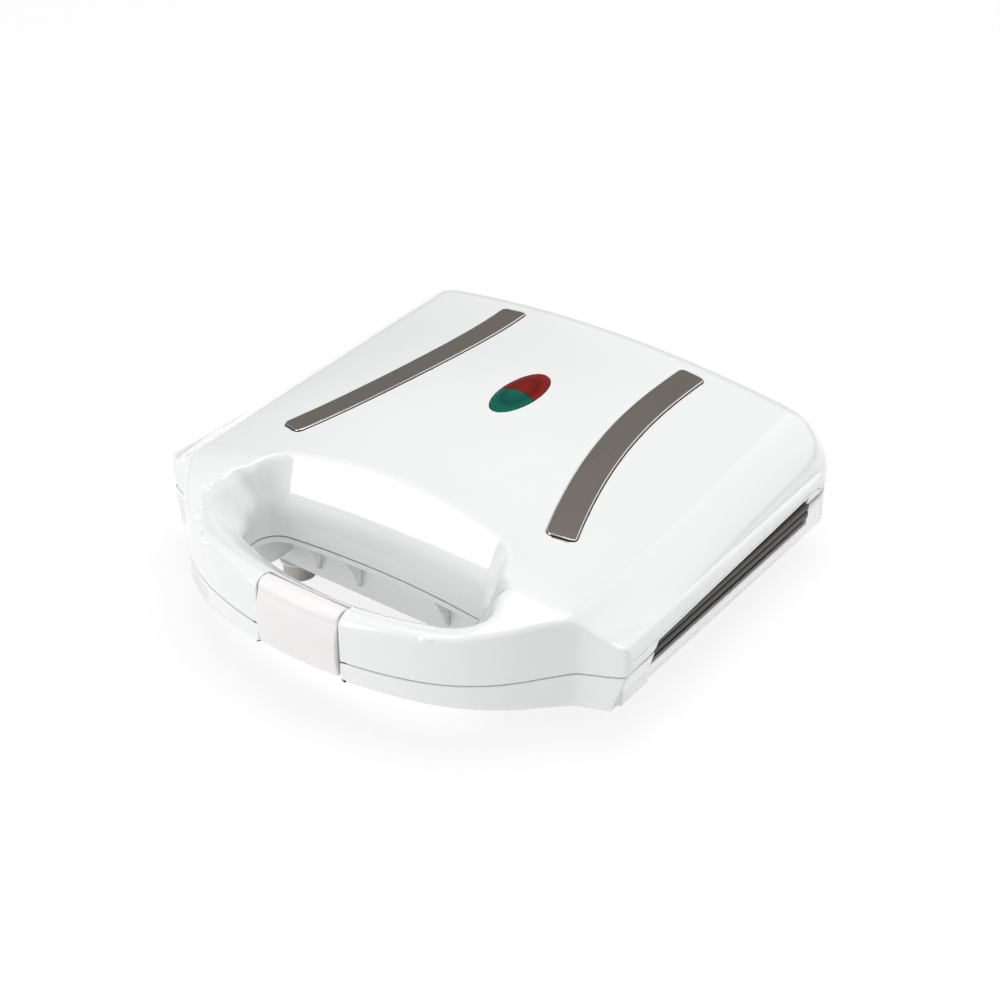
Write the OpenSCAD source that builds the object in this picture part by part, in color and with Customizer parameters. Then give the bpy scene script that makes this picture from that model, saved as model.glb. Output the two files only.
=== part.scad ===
// Sandwich toaster: a base and a hinged lid that press two moulded plates together,
// with a finger bowl and a clip latch in the handle at the front.
// X runs to the right, Y to the rear and Z up; the origin is under the middle of the footprint.

/* [Overall] */
// Width across the front corners
body_w = 231; // [216:1:250]
// Depth from the face of the latch to the back of the hinge
body_d = 239; // [228:1:252]
// Height of the parting line between lid and base
parting_z = 34.5; // [33.5:0.5:40]
// Height of the lid's crown above the parting line
lid_rise = 39; // [36:0.5:46]
// Wall of both housings
wall = 2.5; // [2:0.1:3]
// Gap between lid and base at the parting line
parting_gap = 0.4; // [0.3:0.05:0.6]
// How much narrower each side is at the rear than at the front corner
side_taper = 4; // [0:0.5:8]

/* [Front outline] */
// Radius of the handle's front
nose_r = 155; // [140:1:175]
// Half angle of the handle's front arc
nose_angle = 18.8; // [17:0.2:20]
// Radius of the arc from the handle's front to its cheek
shoulder_r = 75; // [70:1:80]
// Angle at which the cheek runs back
cheek_angle = 52; // [48:1:56]
// Length of the straight cheek
cheek_len = 16.6; // [13:0.2:18]
// Radius of the hollow between cheek and corner
flare_r = 12; // [8:1:18]
// Angle at which the flare runs out to the corner
flare_angle = 25; // [18:1:32]
// Radius of the front corners in plan
corner_r = 5; // [4:0.5:7]
// Radius of the rear corners in plan
rear_corner_r = 16; // [12:1:22]

/* [Lid surface] */
// Fall of the crown from the middle to the side crease, at the front
crown_fall_front = 12.5; // [9:0.5:14]
// Rise of the crown's middle line above its two ends
crown_bow = 2.6; // [0:0.1:3]
// Fall of the crown from the middle to the side crease, at the rear
crown_fall_rear = 8; // [6:0.5:12]
// Distance behind the handle's front at which the lid starts to fall to the handle
slope_run = 59.5; // [54:0.5:64]
// Fall of the lid at the handle's front
slope_fall = 20.5; // [17:0.5:22]
// Height of the side lip's shoulder above the parting line, at the front
lip_front = 14.8; // [12:0.2:17]
// Height of the side lip's shoulder above the parting line, at the rear
lip_rear = 10; // [9:0.2:13]
// Height of the widest line of the lid above the parting line
nose_rise = 7.5; // [5:0.5:8.5]
// Radius of the rounding at the top of the rear wall
rear_r = 16; // [12:0.5:20]

/* [Hand hole] */
// Half width of the hand hole
hole_half_w = 57.6; // [50:0.2:62]
// Thickness of the handle bar from front to back
bar_d = 21; // [19:0.5:24]
// Clear depth of the hand hole behind the bar
hole_d = 36.3; // [32:0.5:40]
// Radius of the hole's rear edge
hole_rear_r = 375; // [250:5:500]
// Radius of the hole's corners
hole_corner_r = 11; // [8:0.5:14]
// How far the bowl's rim lies behind the hole
bowl_flare = 10.5; // [8:0.5:13]
// How far the bowl's rim lies beside the hole
bowl_side = 5; // [4:0.5:8]
// Radius of the bowl's corners
bowl_corner_r = 17; // [12:0.5:17]
// How far the bar's rear edge is sloped off towards the hole
bar_slope_d = 10.5; // [6:0.5:12]
// Height of that slope
bar_slope_h = 9; // [6:0.5:11]
// Height above the parting line at which that slope starts
bar_slope_start = 11; // [8:0.5:12]
// How far the bar's flatter top reaches in front of the slope
bar_top_d = 6.5; // [4:0.5:7]
// Rise of the bar's top over that length
bar_top_rise = 1.5; // [1:0.5:3]
// Height above the parting line at which the bowl starts to flare
bowl_start = 18; // [14:0.5:22]

/* [Base] */
// Height of the skirt's underside
skirt_z = 16.5; // [15:0.5:19]
// Rise of the skirt's underside at the handle
skirt_rise = 9; // [7:0.5:10]
// Draft of the skirt's sides
skirt_draft = 6; // [3:0.5:8]
// Height of the tub's underside, which is the height of the feet
tub_z = 8; // [6:0.5:9]
// Half width of the tub
tub_half_w = 98; // [92:1:102]
// Distance of the tub's front wall behind the rear edge of the hand hole
tub_setback = 10.2; // [8:0.2:13]
// Thickness of the flange round the hand hole
flange_t = 2.5; // [2:0.1:3]
// Depth of the fins below the flange
fin_h = 18; // [12:0.5:20]
// Thickness of the fins
fin_t = 2; // [1.5:0.1:3]
// Radius of the feet
foot_r = 7; // [5:0.5:9]
// Spacing of the feet across
feet_w = 124; // [110:1:150]
// Distance of the front feet behind the tub's front wall
foot_front = 7.5; // [7.5:0.5:14]
// Distance of the rear feet in front of the tub's rear wall
foot_rear = 24; // [24:0.5:40]

/* [Side gap] */
// Distance of the side gap's ends from the plates' front and rear edges
gap_inset = 5.7; // [5.6:0.1:16]
// Height of the side gap above the parting line
gap_above = 3.4; // [2.8:0.1:4]
// Height of the side gap below the parting line
gap_below = 7.6; // [5:0.1:8.5]

/* [Trim strips] */
// Width of each trim strip
strip_w = 12.3; // [9:0.1:15]
// Radius of the strip's centre line
strip_arc_r = 332; // [300:1:360]
// Distance of the strip's nearest point from the middle
strip_mid_x = 46.2; // [42:0.1:50]
// Distance of that nearest point in front of the rear wall
strip_mid_back = 30; // [25:0.1:35]
// Angle from the nearest point to the front end
strip_front_angle = 20.4; // [17:0.1:21]
// Angle from the nearest point to the rear end
strip_rear_angle = 2.1; // [1:0.1:2.4]
// Depth of the groove that the strip sits in
strip_sunk = 1.2; // [0.8:0.1:1.5]
// Height that the strip stands proud
strip_proud = 0.7; // [0.4:0.1:1.2]
// Clearance of the strip in its groove
strip_gap = 0.25; // [0.15:0.05:0.4]

/* [Indicator window] */
// Length of the oval window
window_l = 37; // [30:0.5:44]
// Width of the oval window
window_w = 17.2; // [12:0.2:24]
// Distance of the window's centre in front of the rear wall
window_back = 79.5; // [70:0.5:86]
// Height that the lenses stand proud
lens_proud = 1; // [0.5:0.1:1.5]
// Clearance of the lenses in the window
lens_gap = 0.4; // [0.2:0.05:0.6]
// Radius of the neon lamps
lamp_r = 3; // [2.5:0.1:3.5]

/* [Latch] */
// Half width of the latch
latch_half_w = 19.6; // [16:0.2:24]
// Gap at each side of the latch
latch_gap = 0.6; // [0.4:0.1:1]
// How far the latch stands proud of the handle
latch_proud = 1.5; // [1:0.1:2]
// Radius of the latch's barrel
barrel_r = 4.8; // [4:0.1:5]
// Radius of the latch pin
latch_pin_r = 1.25; // [1:0.05:1.4]
// Thickness of the latch's blade
blade_t = 3; // [2.5:0.1:3.5]
// Height of the latch's catch
catch_h = 3; // [2:0.2:3.4]
// Half width of the latch's catch
catch_half_w = 7; // [5:0.5:10]

/* [Hinge] */
// Radius of the hinge knuckles
knuckle_r = 5; // [4.5:0.1:5.5]
// Radius of the hinge pins
pin_r = 2; // [1.5:0.1:2.5]
// Radial clearance of the pins in their bores
pin_play = 0.05; // [0.03:0.01:0.08]
// Distance of each hinge from the middle
hinge_x = 70; // [60:1:80]
// Length of the lid's knuckle
knuckle_l = 20; // [16:1:26]
// Length of each base knuckle
ear_l = 10; // [8:1:14]
// Gap between neighbouring knuckles, and behind the rear wall
hinge_gap = 0.5; // [0.4:0.05:0.7]

/* [Plates] */
// Half width of the plates
plate_half_w = 109; // [104:0.5:110]
// Distance of the plates' rear edge in front of the tub's rear wall
plate_rear = 20; // [17:0.5:24]
// Distance of the plates' front edge behind the tub's front wall
plate_setback = 4.5; // [3.5:0.5:8]
// Thickness of the plates' rim
rim_t = 3.5; // [3:0.1:4]
// Gap between the closed plates
plate_gap = 0.5; // [0.4:0.05:0.8]
// Depth of each triangular pocket
pocket_h = 12.5; // [9:0.5:13]
// Thickness of the pockets' skin
pocket_t = 2; // [1.6:0.1:2.4]
// Width of the rim round the pockets
rim_w = 6; // [5:0.5:8]
// Width of the ridges that cut and seal the bread
ridge_w = 7; // [6:0.5:9]
// How far each pocket's floor is smaller than its mouth
pocket_slope = 9; // [6:0.5:12]
// Radius of the heating element's sheath
element_r = 3.25; // [3:0.05:3.5]
// Thickness of the reflector trays
tray_t = 0.8; // [0.6:0.1:1]

/* [Fasteners and cord] */
// Radius of the screw posts
post_r = 4; // [3.5:0.1:4.5]
// Radius of the screw shanks
screw_r = 1.5; // [1.3:0.1:1.8]
// Radius of the screw heads
head_r = 2.8; // [2.4:0.1:3]
// Height of the screw heads
head_h = 1.6; // [1.4:0.1:2]
// Radius of the bore in the cord gland
cord_r = 3.5; // [3:0.1:4]
// Radius of the gland's collar
gland_r = 6.5; // [6:0.1:7]
// Distance of the gland from the middle
gland_x = 30; // [20:1:36]
// Radius of the internal leads
lead_r = 1.1; // [0.9:0.1:1.4]

/* [Hidden] */

$fn = 48;
half_w = body_w / 2;
front_y = -body_d / 2 + latch_proud;
hinge_y = body_d / 2 - knuckle_r;
rear_y = hinge_y - knuckle_r - hinge_gap;
crown_z = parting_z + lid_rise;
lid_z0 = parting_z + parting_gap / 2;
base_z1 = parting_z - parting_gap / 2;
slack = 1;              // overrun of cuts past the faces that they leave
seat = 0.05;            // gap left under a piece that sits on another
fit = 0.3;              // gap round a piece that passes through another
far = body_w;           // long enough to pass right through the body

// Front outline: four arcs joined by straight lines, angles from the front towards the side.
nose_c = [0, front_y + nose_r];
shoulder_c = nose_c + (nose_r - shoulder_r) * [sin(nose_angle), -cos(nose_angle)];
cheek_a = shoulder_c + shoulder_r * [sin(cheek_angle), -cos(cheek_angle)];
cheek_b = cheek_a + cheek_len * [cos(cheek_angle), sin(cheek_angle)];
flare_c = cheek_b + flare_r * [sin(cheek_angle), -cos(cheek_angle)];
flare_a = flare_c - flare_r * [sin(flare_angle), -cos(flare_angle)];
corner_x = half_w - corner_r;
flare_b_x = corner_x + corner_r * sin(flare_angle);
flare_b = [flare_b_x, flare_a[1] + (flare_b_x - flare_a[0]) * tan(flare_angle)];
corner_c = [corner_x, flare_b[1] + corner_r * cos(flare_angle)];
corner_y = corner_c[1];
crease = cheek_b[0] / half_w;    // share of the half width at which the crown ends
lip_share = 0.85;                // share of the side slope at which its lip turns down

function arc_points(c, r, a, b, n) =
    [for (i = [0:n]) let (t = a + (b - a) * i / n) c + r * [sin(t), -cos(t)]];
function line_points(p, q, n) = [for (i = [1:n - 1]) p + (q - p) * i / n];
function tail(list) = [for (i = [1:len(list) - 1]) list[i]];
function mirrored(list) = [for (i = [len(list) - 1:-1:0]) if (list[i][0] > 0) [-list[i][0], list[i][1]]];
function clamp(v, lo, hi) = max(lo, min(hi, v));
function mix(a, b, t) = a + (b - a) * clamp(t, 0, 1);

function front_half(inset) = let (
        flare = arc_points(flare_c, -flare_r - inset, cheek_angle, flare_angle, 3),
        corner = arc_points(corner_c, corner_r - inset, flare_angle, 90, 4))
    concat(arc_points(nose_c, nose_r - inset, 0, nose_angle, 4),
        tail(arc_points(shoulder_c, shoulder_r - inset, nose_angle, cheek_angle, 6)),
        flare, line_points(flare[3], corner[0], 4), corner);

function side_x(y) = half_w - side_taper * clamp((y - corner_y) / (rear_y - corner_y), 0, 1);
rear_side_x = side_x(rear_y);
rear_corner_x = rear_side_x - rear_corner_r;
function rear_edge(x, inset) = let (
        r = rear_corner_r - inset, dx = clamp(abs(x) - rear_corner_x, 0, r))
    rear_y - rear_corner_r + sqrt(r * r - dx * dx);

module plan(inset) {
    rear = arc_points([rear_corner_x, rear_y - rear_corner_r], rear_corner_r - inset, 90, 180, 8);
    right = concat(front_half(inset), rear);
    polygon(concat(mirrored(right), right));
}

// Height of the lid's outer surface.
slope_y = front_y + slope_run;
function along(y) = clamp((y - corner_y) / (rear_y - corner_y), 0, 1);
function crown_fall(y) = mix(crown_fall_front, crown_fall_rear, along(y));
bow_y0 = slope_y;
bow_y1 = rear_y - rear_r;
function bow(y) = let (u = 2 * clamp((y - bow_y0) / (bow_y1 - bow_y0), 0, 1) - 1)
    crown_bow * pow(1 - u * u, 2);
function slope_drop(y) = slope_fall * pow(max(0, slope_y - y) / slope_run, 2);
function hollow_power(y) = 0.6 + exp(-max(0, y - corner_y) / 35);   // above 1 hollow, below 1 full
function lip_z(y) = parting_z + mix(lip_front, lip_rear, along(y));
function side_z(y, t) = let (
        top = crown_z - crown_fall(y), lip = lip_z(y), u = t / lip_share,
        nose = parting_z + nose_rise, v = (t - lip_share) / (1 - lip_share))
    t < lip_share ? lip + (top - lip) * pow(1 - u, hollow_power(y))
        : nose + (lip - nose) * sqrt(max(0, 1 - v * v));
function rear_turn(x, y) = let (edge = rear_edge(x, 0), s = clamp((y - edge + rear_r) / rear_r, 0, 1))
    1 - rear_r / lid_rise * (1 - sqrt(1 - s * s));
function lid_top(x, y) = let (
        share = min(1, abs(x) / side_x(y)),
        z = share <= crease ? crown_z + bow(y) - (crown_fall(y) + bow(y)) * pow(share / crease, 2)
            : side_z(y, (share - crease) / (1 - crease)))
    parting_z + (z - slope_drop(y) - parting_z) * rear_turn(x, y);

// Closed body under the lid's surface, set in by inset and reaching down to floor_z.
front_rows = 6;
middle_rows = 6;
rear_rows = 5;
rear_last = 80;    // angle at which the rear rounding gives way to the upright wall
module lid_solid(inset, floor_z) {
    front = front_half(inset);
    row_ys = function (p) let (
            x = p[0] / (half_w - inset) * (rear_side_x - inset), edge = rear_edge(x, inset),
            blend_y = corner_y + corner_r + slack, turn_y = edge - rear_r)
        concat([for (j = [0:front_rows]) mix(p[1], blend_y, j / front_rows)],
            [for (j = [1:middle_rows]) mix(blend_y, turn_y, j / middle_rows)],
            [for (j = [1:rear_rows]) turn_y + rear_r * sin(rear_last * j / rear_rows)]);
    right = [for (p = front) [for (y = row_ys(p))
        let (share = p[0] / (half_w - inset), x = share * (side_x(y) - inset)) [x, y]]];
    columns = concat([for (k = [len(front) - 1:-1:1]) [for (q = right[k]) [-q[0], q[1]]]], right);
    n = len(columns);
    m = len(columns[0]);
    top = [for (c = columns) for (q = c) [q[0], q[1], lid_top(q[0], q[1]) - inset]];
    bottom = [for (c = columns) for (q = c) [q[0], q[1], floor_z]];
    edge = concat([for (k = [0:n - 1]) k * m], [for (j = [1:m - 1]) (n - 1) * m + j],
        [for (k = [n - 2:-1:0]) k * m + m - 1], [for (j = [m - 2:-1:1]) j]);
    count = len(edge);
    // The floor is one strip for each pair of columns, and the outer two take in the side's own points.
    last = (n - 1) * m;
    floor_faces = concat(
        [for (k = [1:n - 3]) [k * m, k * m + m, k * m + 2 * m - 1, k * m + m - 1]],
        [concat([m, 2 * m - 1], [for (j = [m - 1:-1:0]) j])],
        [concat([last - 1, last - m], [for (j = [0:m - 1]) last + j])]);
    polyhedron(concat(top, bottom), concat(
        [for (k = [0:n - 2]) for (j = [0:m - 2]) each let (i = k * m + j)
            [[i, i + 1, i + m + 1], [i, i + m + 1, i + m]]],
        [for (e = [0:count - 1]) each let (a = edge[e], b = edge[(e + 1) % count])
            [[a, b, b + n * m], [a, b + n * m, a + n * m]]],
        [for (f = floor_faces) [for (i = f) i + n * m]]), convexity = 8);
}

// Hand hole: a round-cornered shape between the handle bar and the tub.
hole_front_y = front_y + bar_d;
hole_rear_y = hole_front_y + hole_d;
hole_front_r = nose_r - bar_d;
// A front arc, a rear arc and two corner arcs on each side, each running smoothly into the next.
module hole_shape(x, front_r, rear_y, r, grow) {
    rear_c = [0, rear_y - hole_rear_r];
    front_a = asin((x - r) / (front_r - r));
    rear_a = asin((x - r) / (hole_rear_r - r));
    right = concat(arc_points(nose_c, front_r + grow, 0, front_a, 5),
        tail(arc_points(nose_c + (front_r - r) * [sin(front_a), -cos(front_a)], r + grow, front_a, 90, 5)),
        arc_points(rear_c + (hole_rear_r - r) * [sin(rear_a), cos(rear_a)], r + grow, 90, 180 - rear_a, 5),
        tail(arc_points(rear_c, hole_rear_r + grow, 180 - rear_a, 180, 3)));
    polygon(concat(mirrored(right), right));
}
module hole_prism(grow, z0, z1) translate([0, 0, z0]) linear_extrude(z1 - z0)
    hole_shape(hole_half_w, hole_front_r, hole_rear_y, hole_corner_r, grow);
module bowl_rim(grow, z) translate([0, 0, z]) linear_extrude(slack)
    hole_shape(hole_half_w + bowl_side, hole_front_r, hole_rear_y + bowl_flare, bowl_corner_r, grow);
module bar_rim(d, grow, z0, z1) translate([0, 0, z0]) linear_extrude(z1 - z0)
    hole_shape(hole_half_w + bowl_side, hole_front_r + d, hole_rear_y, bowl_corner_r, grow);
module bowl(grow) {
    z = parting_z + bowl_start;
    bar_z = parting_z + bar_slope_start;
    hull() {
        hole_prism(grow, z - slack, z);
        bowl_rim(grow, crown_z + slack);
    }
    top_z = bar_z + bar_slope_h;
    hull() {
        hole_prism(grow, bar_z - slack, bar_z);
        bar_rim(bar_slope_d, grow, top_z, top_z + slack);
    }
    hull() {
        bar_rim(bar_slope_d, grow, top_z, top_z + slack);
        bar_rim(bar_slope_d + bar_top_d, grow, top_z + bar_top_rise, crown_z);
    }
    hole_prism(grow, lid_z0 - slack, z);
}

module box(x0, x1, y0, y1, z0, z1) translate([x0, y0, z0]) cube([x1 - x0, y1 - y0, z1 - z0]);
module both_sides() { children(); mirror([1, 0, 0]) children(); }
module rod_x(x0, x1, y, z, r) translate([x0, y, z]) rotate([0, 90, 0]) cylinder(r = r, h = x1 - x0);
module rod_y(x, y0, y1, z, r) translate([x, y0, z]) rotate([-90, 0, 0]) cylinder(r = r, h = y1 - y0);
module rod_z(x, y, z0, z1, r) translate([x, y, z0]) cylinder(r = r, h = z1 - z0);

// Latch and the notch that it sits in.
barrel_inset = 0.4;     // distance of the barrel behind the handle's front
barrel_y = front_y + barrel_r + barrel_inset;
barrel_z = lid_top(0, barrel_y) - barrel_r - fit;
notch_y = barrel_y + barrel_r + latch_gap;
notch_x = latch_half_w + latch_gap;
latch_lift = 1.5;       // height of the blade's tip above the skirt
catch_lift = 2.4;       // height of the catch above the tip
latch_z0 = skirt_z + skirt_rise + latch_lift;
catch_z = latch_z0 + catch_lift;
module notch(grow, z0, z1)
    box(-notch_x - grow, notch_x + grow, front_y - 2 * latch_proud, notch_y + grow, z0, z1);

// Side gaps, measured about the middle of the plates.
tub_y0 = hole_rear_y + tub_setback;
tub_y1 = rear_y - wall - hinge_gap;
plate_y0 = tub_y0 + plate_setback;
plate_y1 = tub_y1 - plate_rear;
plate_mid_y = (plate_y0 + plate_y1) / 2;
gap_x = plate_half_w - slack - rim_w / 2;
module side_gap(z0, z1) both_sides()
    box(gap_x, half_w + slack, plate_y0 + gap_inset, plate_y1 - gap_inset, z0, z1);

// Stack of each half, counted from the parting line outwards.
rim_face = plate_gap / 2;
pocket_back = rim_face + pocket_h + pocket_t;
tray_face = pocket_back + 2 * element_r;
tray_back = tray_face + tray_t;
screw_front = 16;       // distance of the plate screws from the plate's front and rear edges
screw_rear = 8;
screw_ys = [plate_y0 + screw_front, plate_y1 - screw_rear];
plate_boss = 3;         // height of the bosses behind the rim
screw_l = 9;            // reach of the screws behind the rim

module upper_half() translate([0, 0, parting_z]) children();
module lower_half() translate([0, 0, parting_z]) mirror([0, 0, 1]) children();

// ---- Plates and what lies behind them, drawn for the upper half ----
module pocket(p, z0, z1, grow) {
    mid = (p[0] + p[1] + p[2]) / 3;
    // Half the mean distance of the corners from the middle: about that of the sides.
    side = (norm(p[0] - mid) + norm(p[1] - mid) + norm(p[2] - mid)) / 6;
    mouth = [for (q = p) q + (q - mid) * grow / side];
    deep = [for (q = mouth) q - (q - mid) * pocket_slope / side];
    polyhedron(concat([for (q = mouth) [q[0], q[1], z0]], [for (q = deep) [q[0], q[1], z1]]),
        [[2, 1, 0], [3, 4, 5], [1, 4, 3, 0], [2, 5, 4, 1], [0, 3, 5, 2]]);
}
well_x0 = ridge_w;
well_x1 = plate_half_w - rim_w;
well_y0 = plate_y0 + rim_w;
well_y1 = plate_y1 - rim_w;
ridge_cut = ridge_w * 1.2;   // how far the slanting ridge sets each pocket's corners back
wells = [[[well_x0, well_y0], [well_x0, well_y1 - ridge_cut], [well_x1 - ridge_cut, well_y0]],
    [[well_x1, well_y1], [well_x1, well_y0 + ridge_cut], [well_x0 + ridge_cut, well_y1]]];
module plate() difference() {
    union() {
        translate([0, 0, rim_face]) linear_extrude(rim_t) plate_shape();
        both_sides() for (w = wells) pocket(w, rim_face + rim_t / 2, pocket_back, pocket_t);
        for (y = screw_ys) rod_z(0, y, rim_face, rim_face + rim_t + plate_boss, post_r);
    }
    both_sides() for (w = wells) pocket(w, rim_face - seat, rim_face + pocket_h, 0);
    for (y = screw_ys) {
        rod_z(0, y, rim_face - slack, rim_face + head_h + seat, head_r + seat);
        rod_z(0, y, rim_face, rim_face + rim_t + plate_boss + slack, screw_r + seat);
    }
}
plate_corner_r = 8;
module plate_shape() {
    x = plate_half_w - plate_corner_r;
    y0 = plate_y0 + plate_corner_r;
    y1 = plate_y1 - plate_corner_r;
    polygon([for (c = [[x, y0, 0], [x, y1, 90], [-x, y1, 180], [-x, y0, 270]])
        each arc_points([c[0], c[1]], plate_corner_r, c[2], c[2] + 90, 6)]);
}

loop_x = 66;         // half width of the element's loop
loop_front = 30;     // distances of the loop from the plate's front and rear edges
loop_rear = 26;
loop_y0 = plate_y0 + loop_front;
loop_y1 = plate_y1 - loop_rear;
loop_r = 14;         // bend radius of the sheath
tail_x = 14;         // half distance between the element's tails
tail_l = 4;          // how far the tails reach behind the plate
stud_l = 5;          // studs that the leads join
tail_y = plate_y1 + tail_l;
stud_y = tail_y + stud_l;
module bend(x, y, a) translate([x, y, 0]) rotate([0, 0, a])
    rotate_extrude(angle = 90) translate([loop_r, 0]) circle(element_r);
module element() translate([0, 0, pocket_back + element_r]) {
    rod_x(-loop_x + loop_r, loop_x - loop_r, loop_y0, 0, element_r);
    both_sides() {
        bend(loop_x - loop_r, loop_y0 + loop_r, 270);
        rod_y(loop_x, loop_y0 + loop_r, loop_y1 - loop_r, 0, element_r);
        bend(loop_x - loop_r, loop_y1 - loop_r, 0);
        rod_x(tail_x + loop_r, loop_x - loop_r, loop_y1, 0, element_r);
        bend(tail_x + loop_r, loop_y1 + loop_r, 180);
        rod_y(tail_x, loop_y1 + loop_r, tail_y, 0, element_r);
        rod_y(tail_x, tail_y, stud_y, 0, element_r / 2);
    }
}
tray_x = 84;         // half width of the reflector tray
tray_front = 9;      // distances of the tray from the plate's front and rear edges
tray_rear = 12;
tray_y0 = plate_y0 + tray_front;
tray_y1 = plate_y1 - tray_rear;
tray_lip = 3;
module tray() difference() {
    union() {
        box(-tray_x, tray_x, tray_y0, tray_y1, tray_face, tray_back);
        both_sides() box(tray_x - tray_t, tray_x, tray_y0, tray_y1, tray_face - tray_lip, tray_back);
    }
    for (y = screw_ys) rod_z(0, y, tray_face - slack, tray_back + slack, post_r + fit);
}
module plate_screws() for (y = screw_ys) {
    rod_z(0, y, rim_face, rim_face + head_h, head_r);
    rod_z(0, y, rim_face + head_h, rim_face + rim_t + screw_l, screw_r);
}
post_step = 2;
// Posts run from the skin of a housing to the plate's boss, with a step that holds the tray.
module posts(skin) for (y = screw_ys) difference() {
    union() {
        rod_z(0, y, rim_face + rim_t + plate_boss, skin, post_r);
        rod_z(0, y, tray_back, skin, post_r + post_step);
    }
    rod_z(0, y, rim_face + rim_t + plate_boss - slack, rim_face + rim_t + screw_l + 2 * slack,
        screw_r + seat);
}
ledge_l = 4;
ledge_inset = 3;     // distance of the ledges from the plate's front and rear edges
ledge_reach = 4;     // how far they reach under the plate
module ledges(skin, x_out) both_sides() for (y = [plate_y0 + ledge_inset, plate_y1 - ledge_inset])
    box(plate_half_w - ledge_reach, x_out, y - ledge_l / 2, y + ledge_l / 2, rim_face + rim_t, skin);

module lower_plate() color("dimgray") lower_half() plate();
module upper_plate() color("dimgray") upper_half() plate();
module lower_element() color("slategray") lower_half() element();
module upper_element() color("slategray") upper_half() element();
module lower_tray() color("silver") lower_half() tray();
module upper_tray() color("silver") upper_half() tray();
module lower_plate_screws() color("silver") lower_half() plate_screws();
module upper_plate_screws() color("silver") upper_half() plate_screws();

// ---- Base ----
skirt_front_z = skirt_z + skirt_rise;
module base_outer(inset, top_z) intersection() {
    translate([0, 0, skirt_z - slack]) linear_extrude(top_z - skirt_z + slack) plan(inset);
    rotate([90, 0, 90]) linear_extrude(2 * far, center = true)
        polygon([[front_y - far, skirt_front_z + inset], [front_y, skirt_front_z + inset],
            [corner_y, skirt_z + inset], [rear_y + slack, skirt_z + inset],
            [rear_y + slack, top_z + slack], [front_y - far, top_z + slack]]);
    rotate([90, 0, 0]) linear_extrude(2 * far, center = true)
        polygon([for (s = [-1, 1]) each s < 0
            ? [[-half_w + inset, top_z + slack], [-half_w + inset, parting_z],
                [-half_w + inset + skirt_draft, skirt_z - slack]]
            : [[half_w - inset - skirt_draft, skirt_z - slack], [half_w - inset, parting_z],
                [half_w - inset, top_z + slack]]]);
}
tub_r = 10;
module tub(inset, z0, z1) translate([0, 0, z0]) linear_extrude(z1 - z0) {
    x = tub_half_w - tub_r;
    r = tub_r - inset;
    polygon([for (c = [[x, tub_y0 + tub_r, 0], [x, tub_y1 - tub_r, 90],
            [-x, tub_y1 - tub_r, 180], [-x, tub_y0 + tub_r, 270]])
        for (p = arc_points([c[0], c[1]], r, c[2], c[2] + 90, 6)) p]);
}
// The space under the flange, between the handle bar and the tub.
under_x = hole_half_w + 2;
module under_hole(grow, z1)
    box(-under_x - grow, under_x + grow, hole_front_y + grow / 4, tub_y0 + slack, tub_z, z1);
fin_xs = [22.5, 44];   // distances of the fins from the middle
ears = [-1, 1];
gland_z = skirt_z + wall + gland_r + fit;
neck_half = (gland_r - fit) / sqrt(2);   // half the width of the gland's square neck
module gland_neck(y0, y1, grow) box(gland_x - neck_half - grow, gland_x + neck_half + grow, y0, y1,
    gland_z - neck_half - grow, gland_z + neck_half + grow);
foot_ys = [tub_y0 + foot_front, tub_y1 - foot_rear];
foot_peg_r = foot_r / 2;
foot_bulb_r = foot_peg_r + 0.8;   // head that holds the foot in its hole
foot_bulb_h = 1.2;
web_h = knuckle_r * 1.6;          // height of the webs that carry the knuckles
module knuckle(x0, x1, z0, z1) {
    rod_x(x0, x1, hinge_y, parting_z, knuckle_r);
    box(x0, x1, rear_y - wall / 2, hinge_y, min(z0, z1), max(z0, z1));
}
module pin_bore(x0, x1) rod_x(x0, x1, hinge_y, parting_z, pin_r + pin_play);
ear_x0 = knuckle_l / 2 + hinge_gap;
ear_x1 = ear_x0 + ear_l;
module base_housing() color("white") difference() {
    union() {
        difference() {
            union() {
                base_outer(0, base_z1);
                tub(0, tub_z, parting_z - gap_below);
            }
            difference() {
                union() {
                    base_outer(wall, base_z1 + slack);
                    tub(wall, tub_z + wall, base_z1 + slack);
                }
                hole_prism(wall, tub_z, base_z1 + slack);
                under_hole(wall, base_z1);
                notch(wall, tub_z, base_z1);
            }
            under_hole(0, base_z1 - flange_t);
        }
        for (k = ears) for (x = fin_xs) translate([k * x - fin_t / 2, 0, 0]) rotate([90, 0, 90])
            linear_extrude(fin_t) polygon([[hole_rear_y + fit, base_z1 - flange_t],
                [tub_y0 + wall / 2, base_z1 - flange_t], [tub_y0 + wall / 2, base_z1 - flange_t - fin_h],
                [tub_y0 - slack, base_z1 - flange_t - fin_h]]);
        intersection() {
            lower_half() {
                posts(parting_z - tub_z - wall / 2);
                ledges(parting_z - skirt_z - wall / 2, half_w - skirt_draft);
            }
            base_inside();
        }
        for (k = ears) for (s = ears) knuckle(k * hinge_x + (s > 0 ? ear_x0 : -ear_x1),
            k * hinge_x + (s > 0 ? ear_x1 : -ear_x0), parting_z - web_h, parting_z);
    }
    hole_prism(0, tub_z - slack, base_z1 + slack);
    notch(0, tub_z, base_z1 + slack);
    box(-catch_half_w - latch_gap, catch_half_w + latch_gap, notch_y - slack, notch_y + wall + slack,
        catch_z - latch_gap, catch_z + catch_h + latch_gap);
    side_gap(parting_z - gap_below, base_z1 + slack);
    for (k = ears) pin_bore(k * hinge_x - ear_x1 - slack, k * hinge_x + ear_x1 + slack);
    gland_neck(rear_y - 2 * wall, rear_y + slack, seat);
    for (k = ears) for (y = foot_ys) rod_z(k * feet_w / 2, y, tub_z - slack, tub_z + wall + slack,
        foot_peg_r + seat);
}
module base_inside() union() {
    base_outer(wall / 2, base_z1);
    tub(wall / 2, tub_z + wall / 2, base_z1);
}
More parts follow.
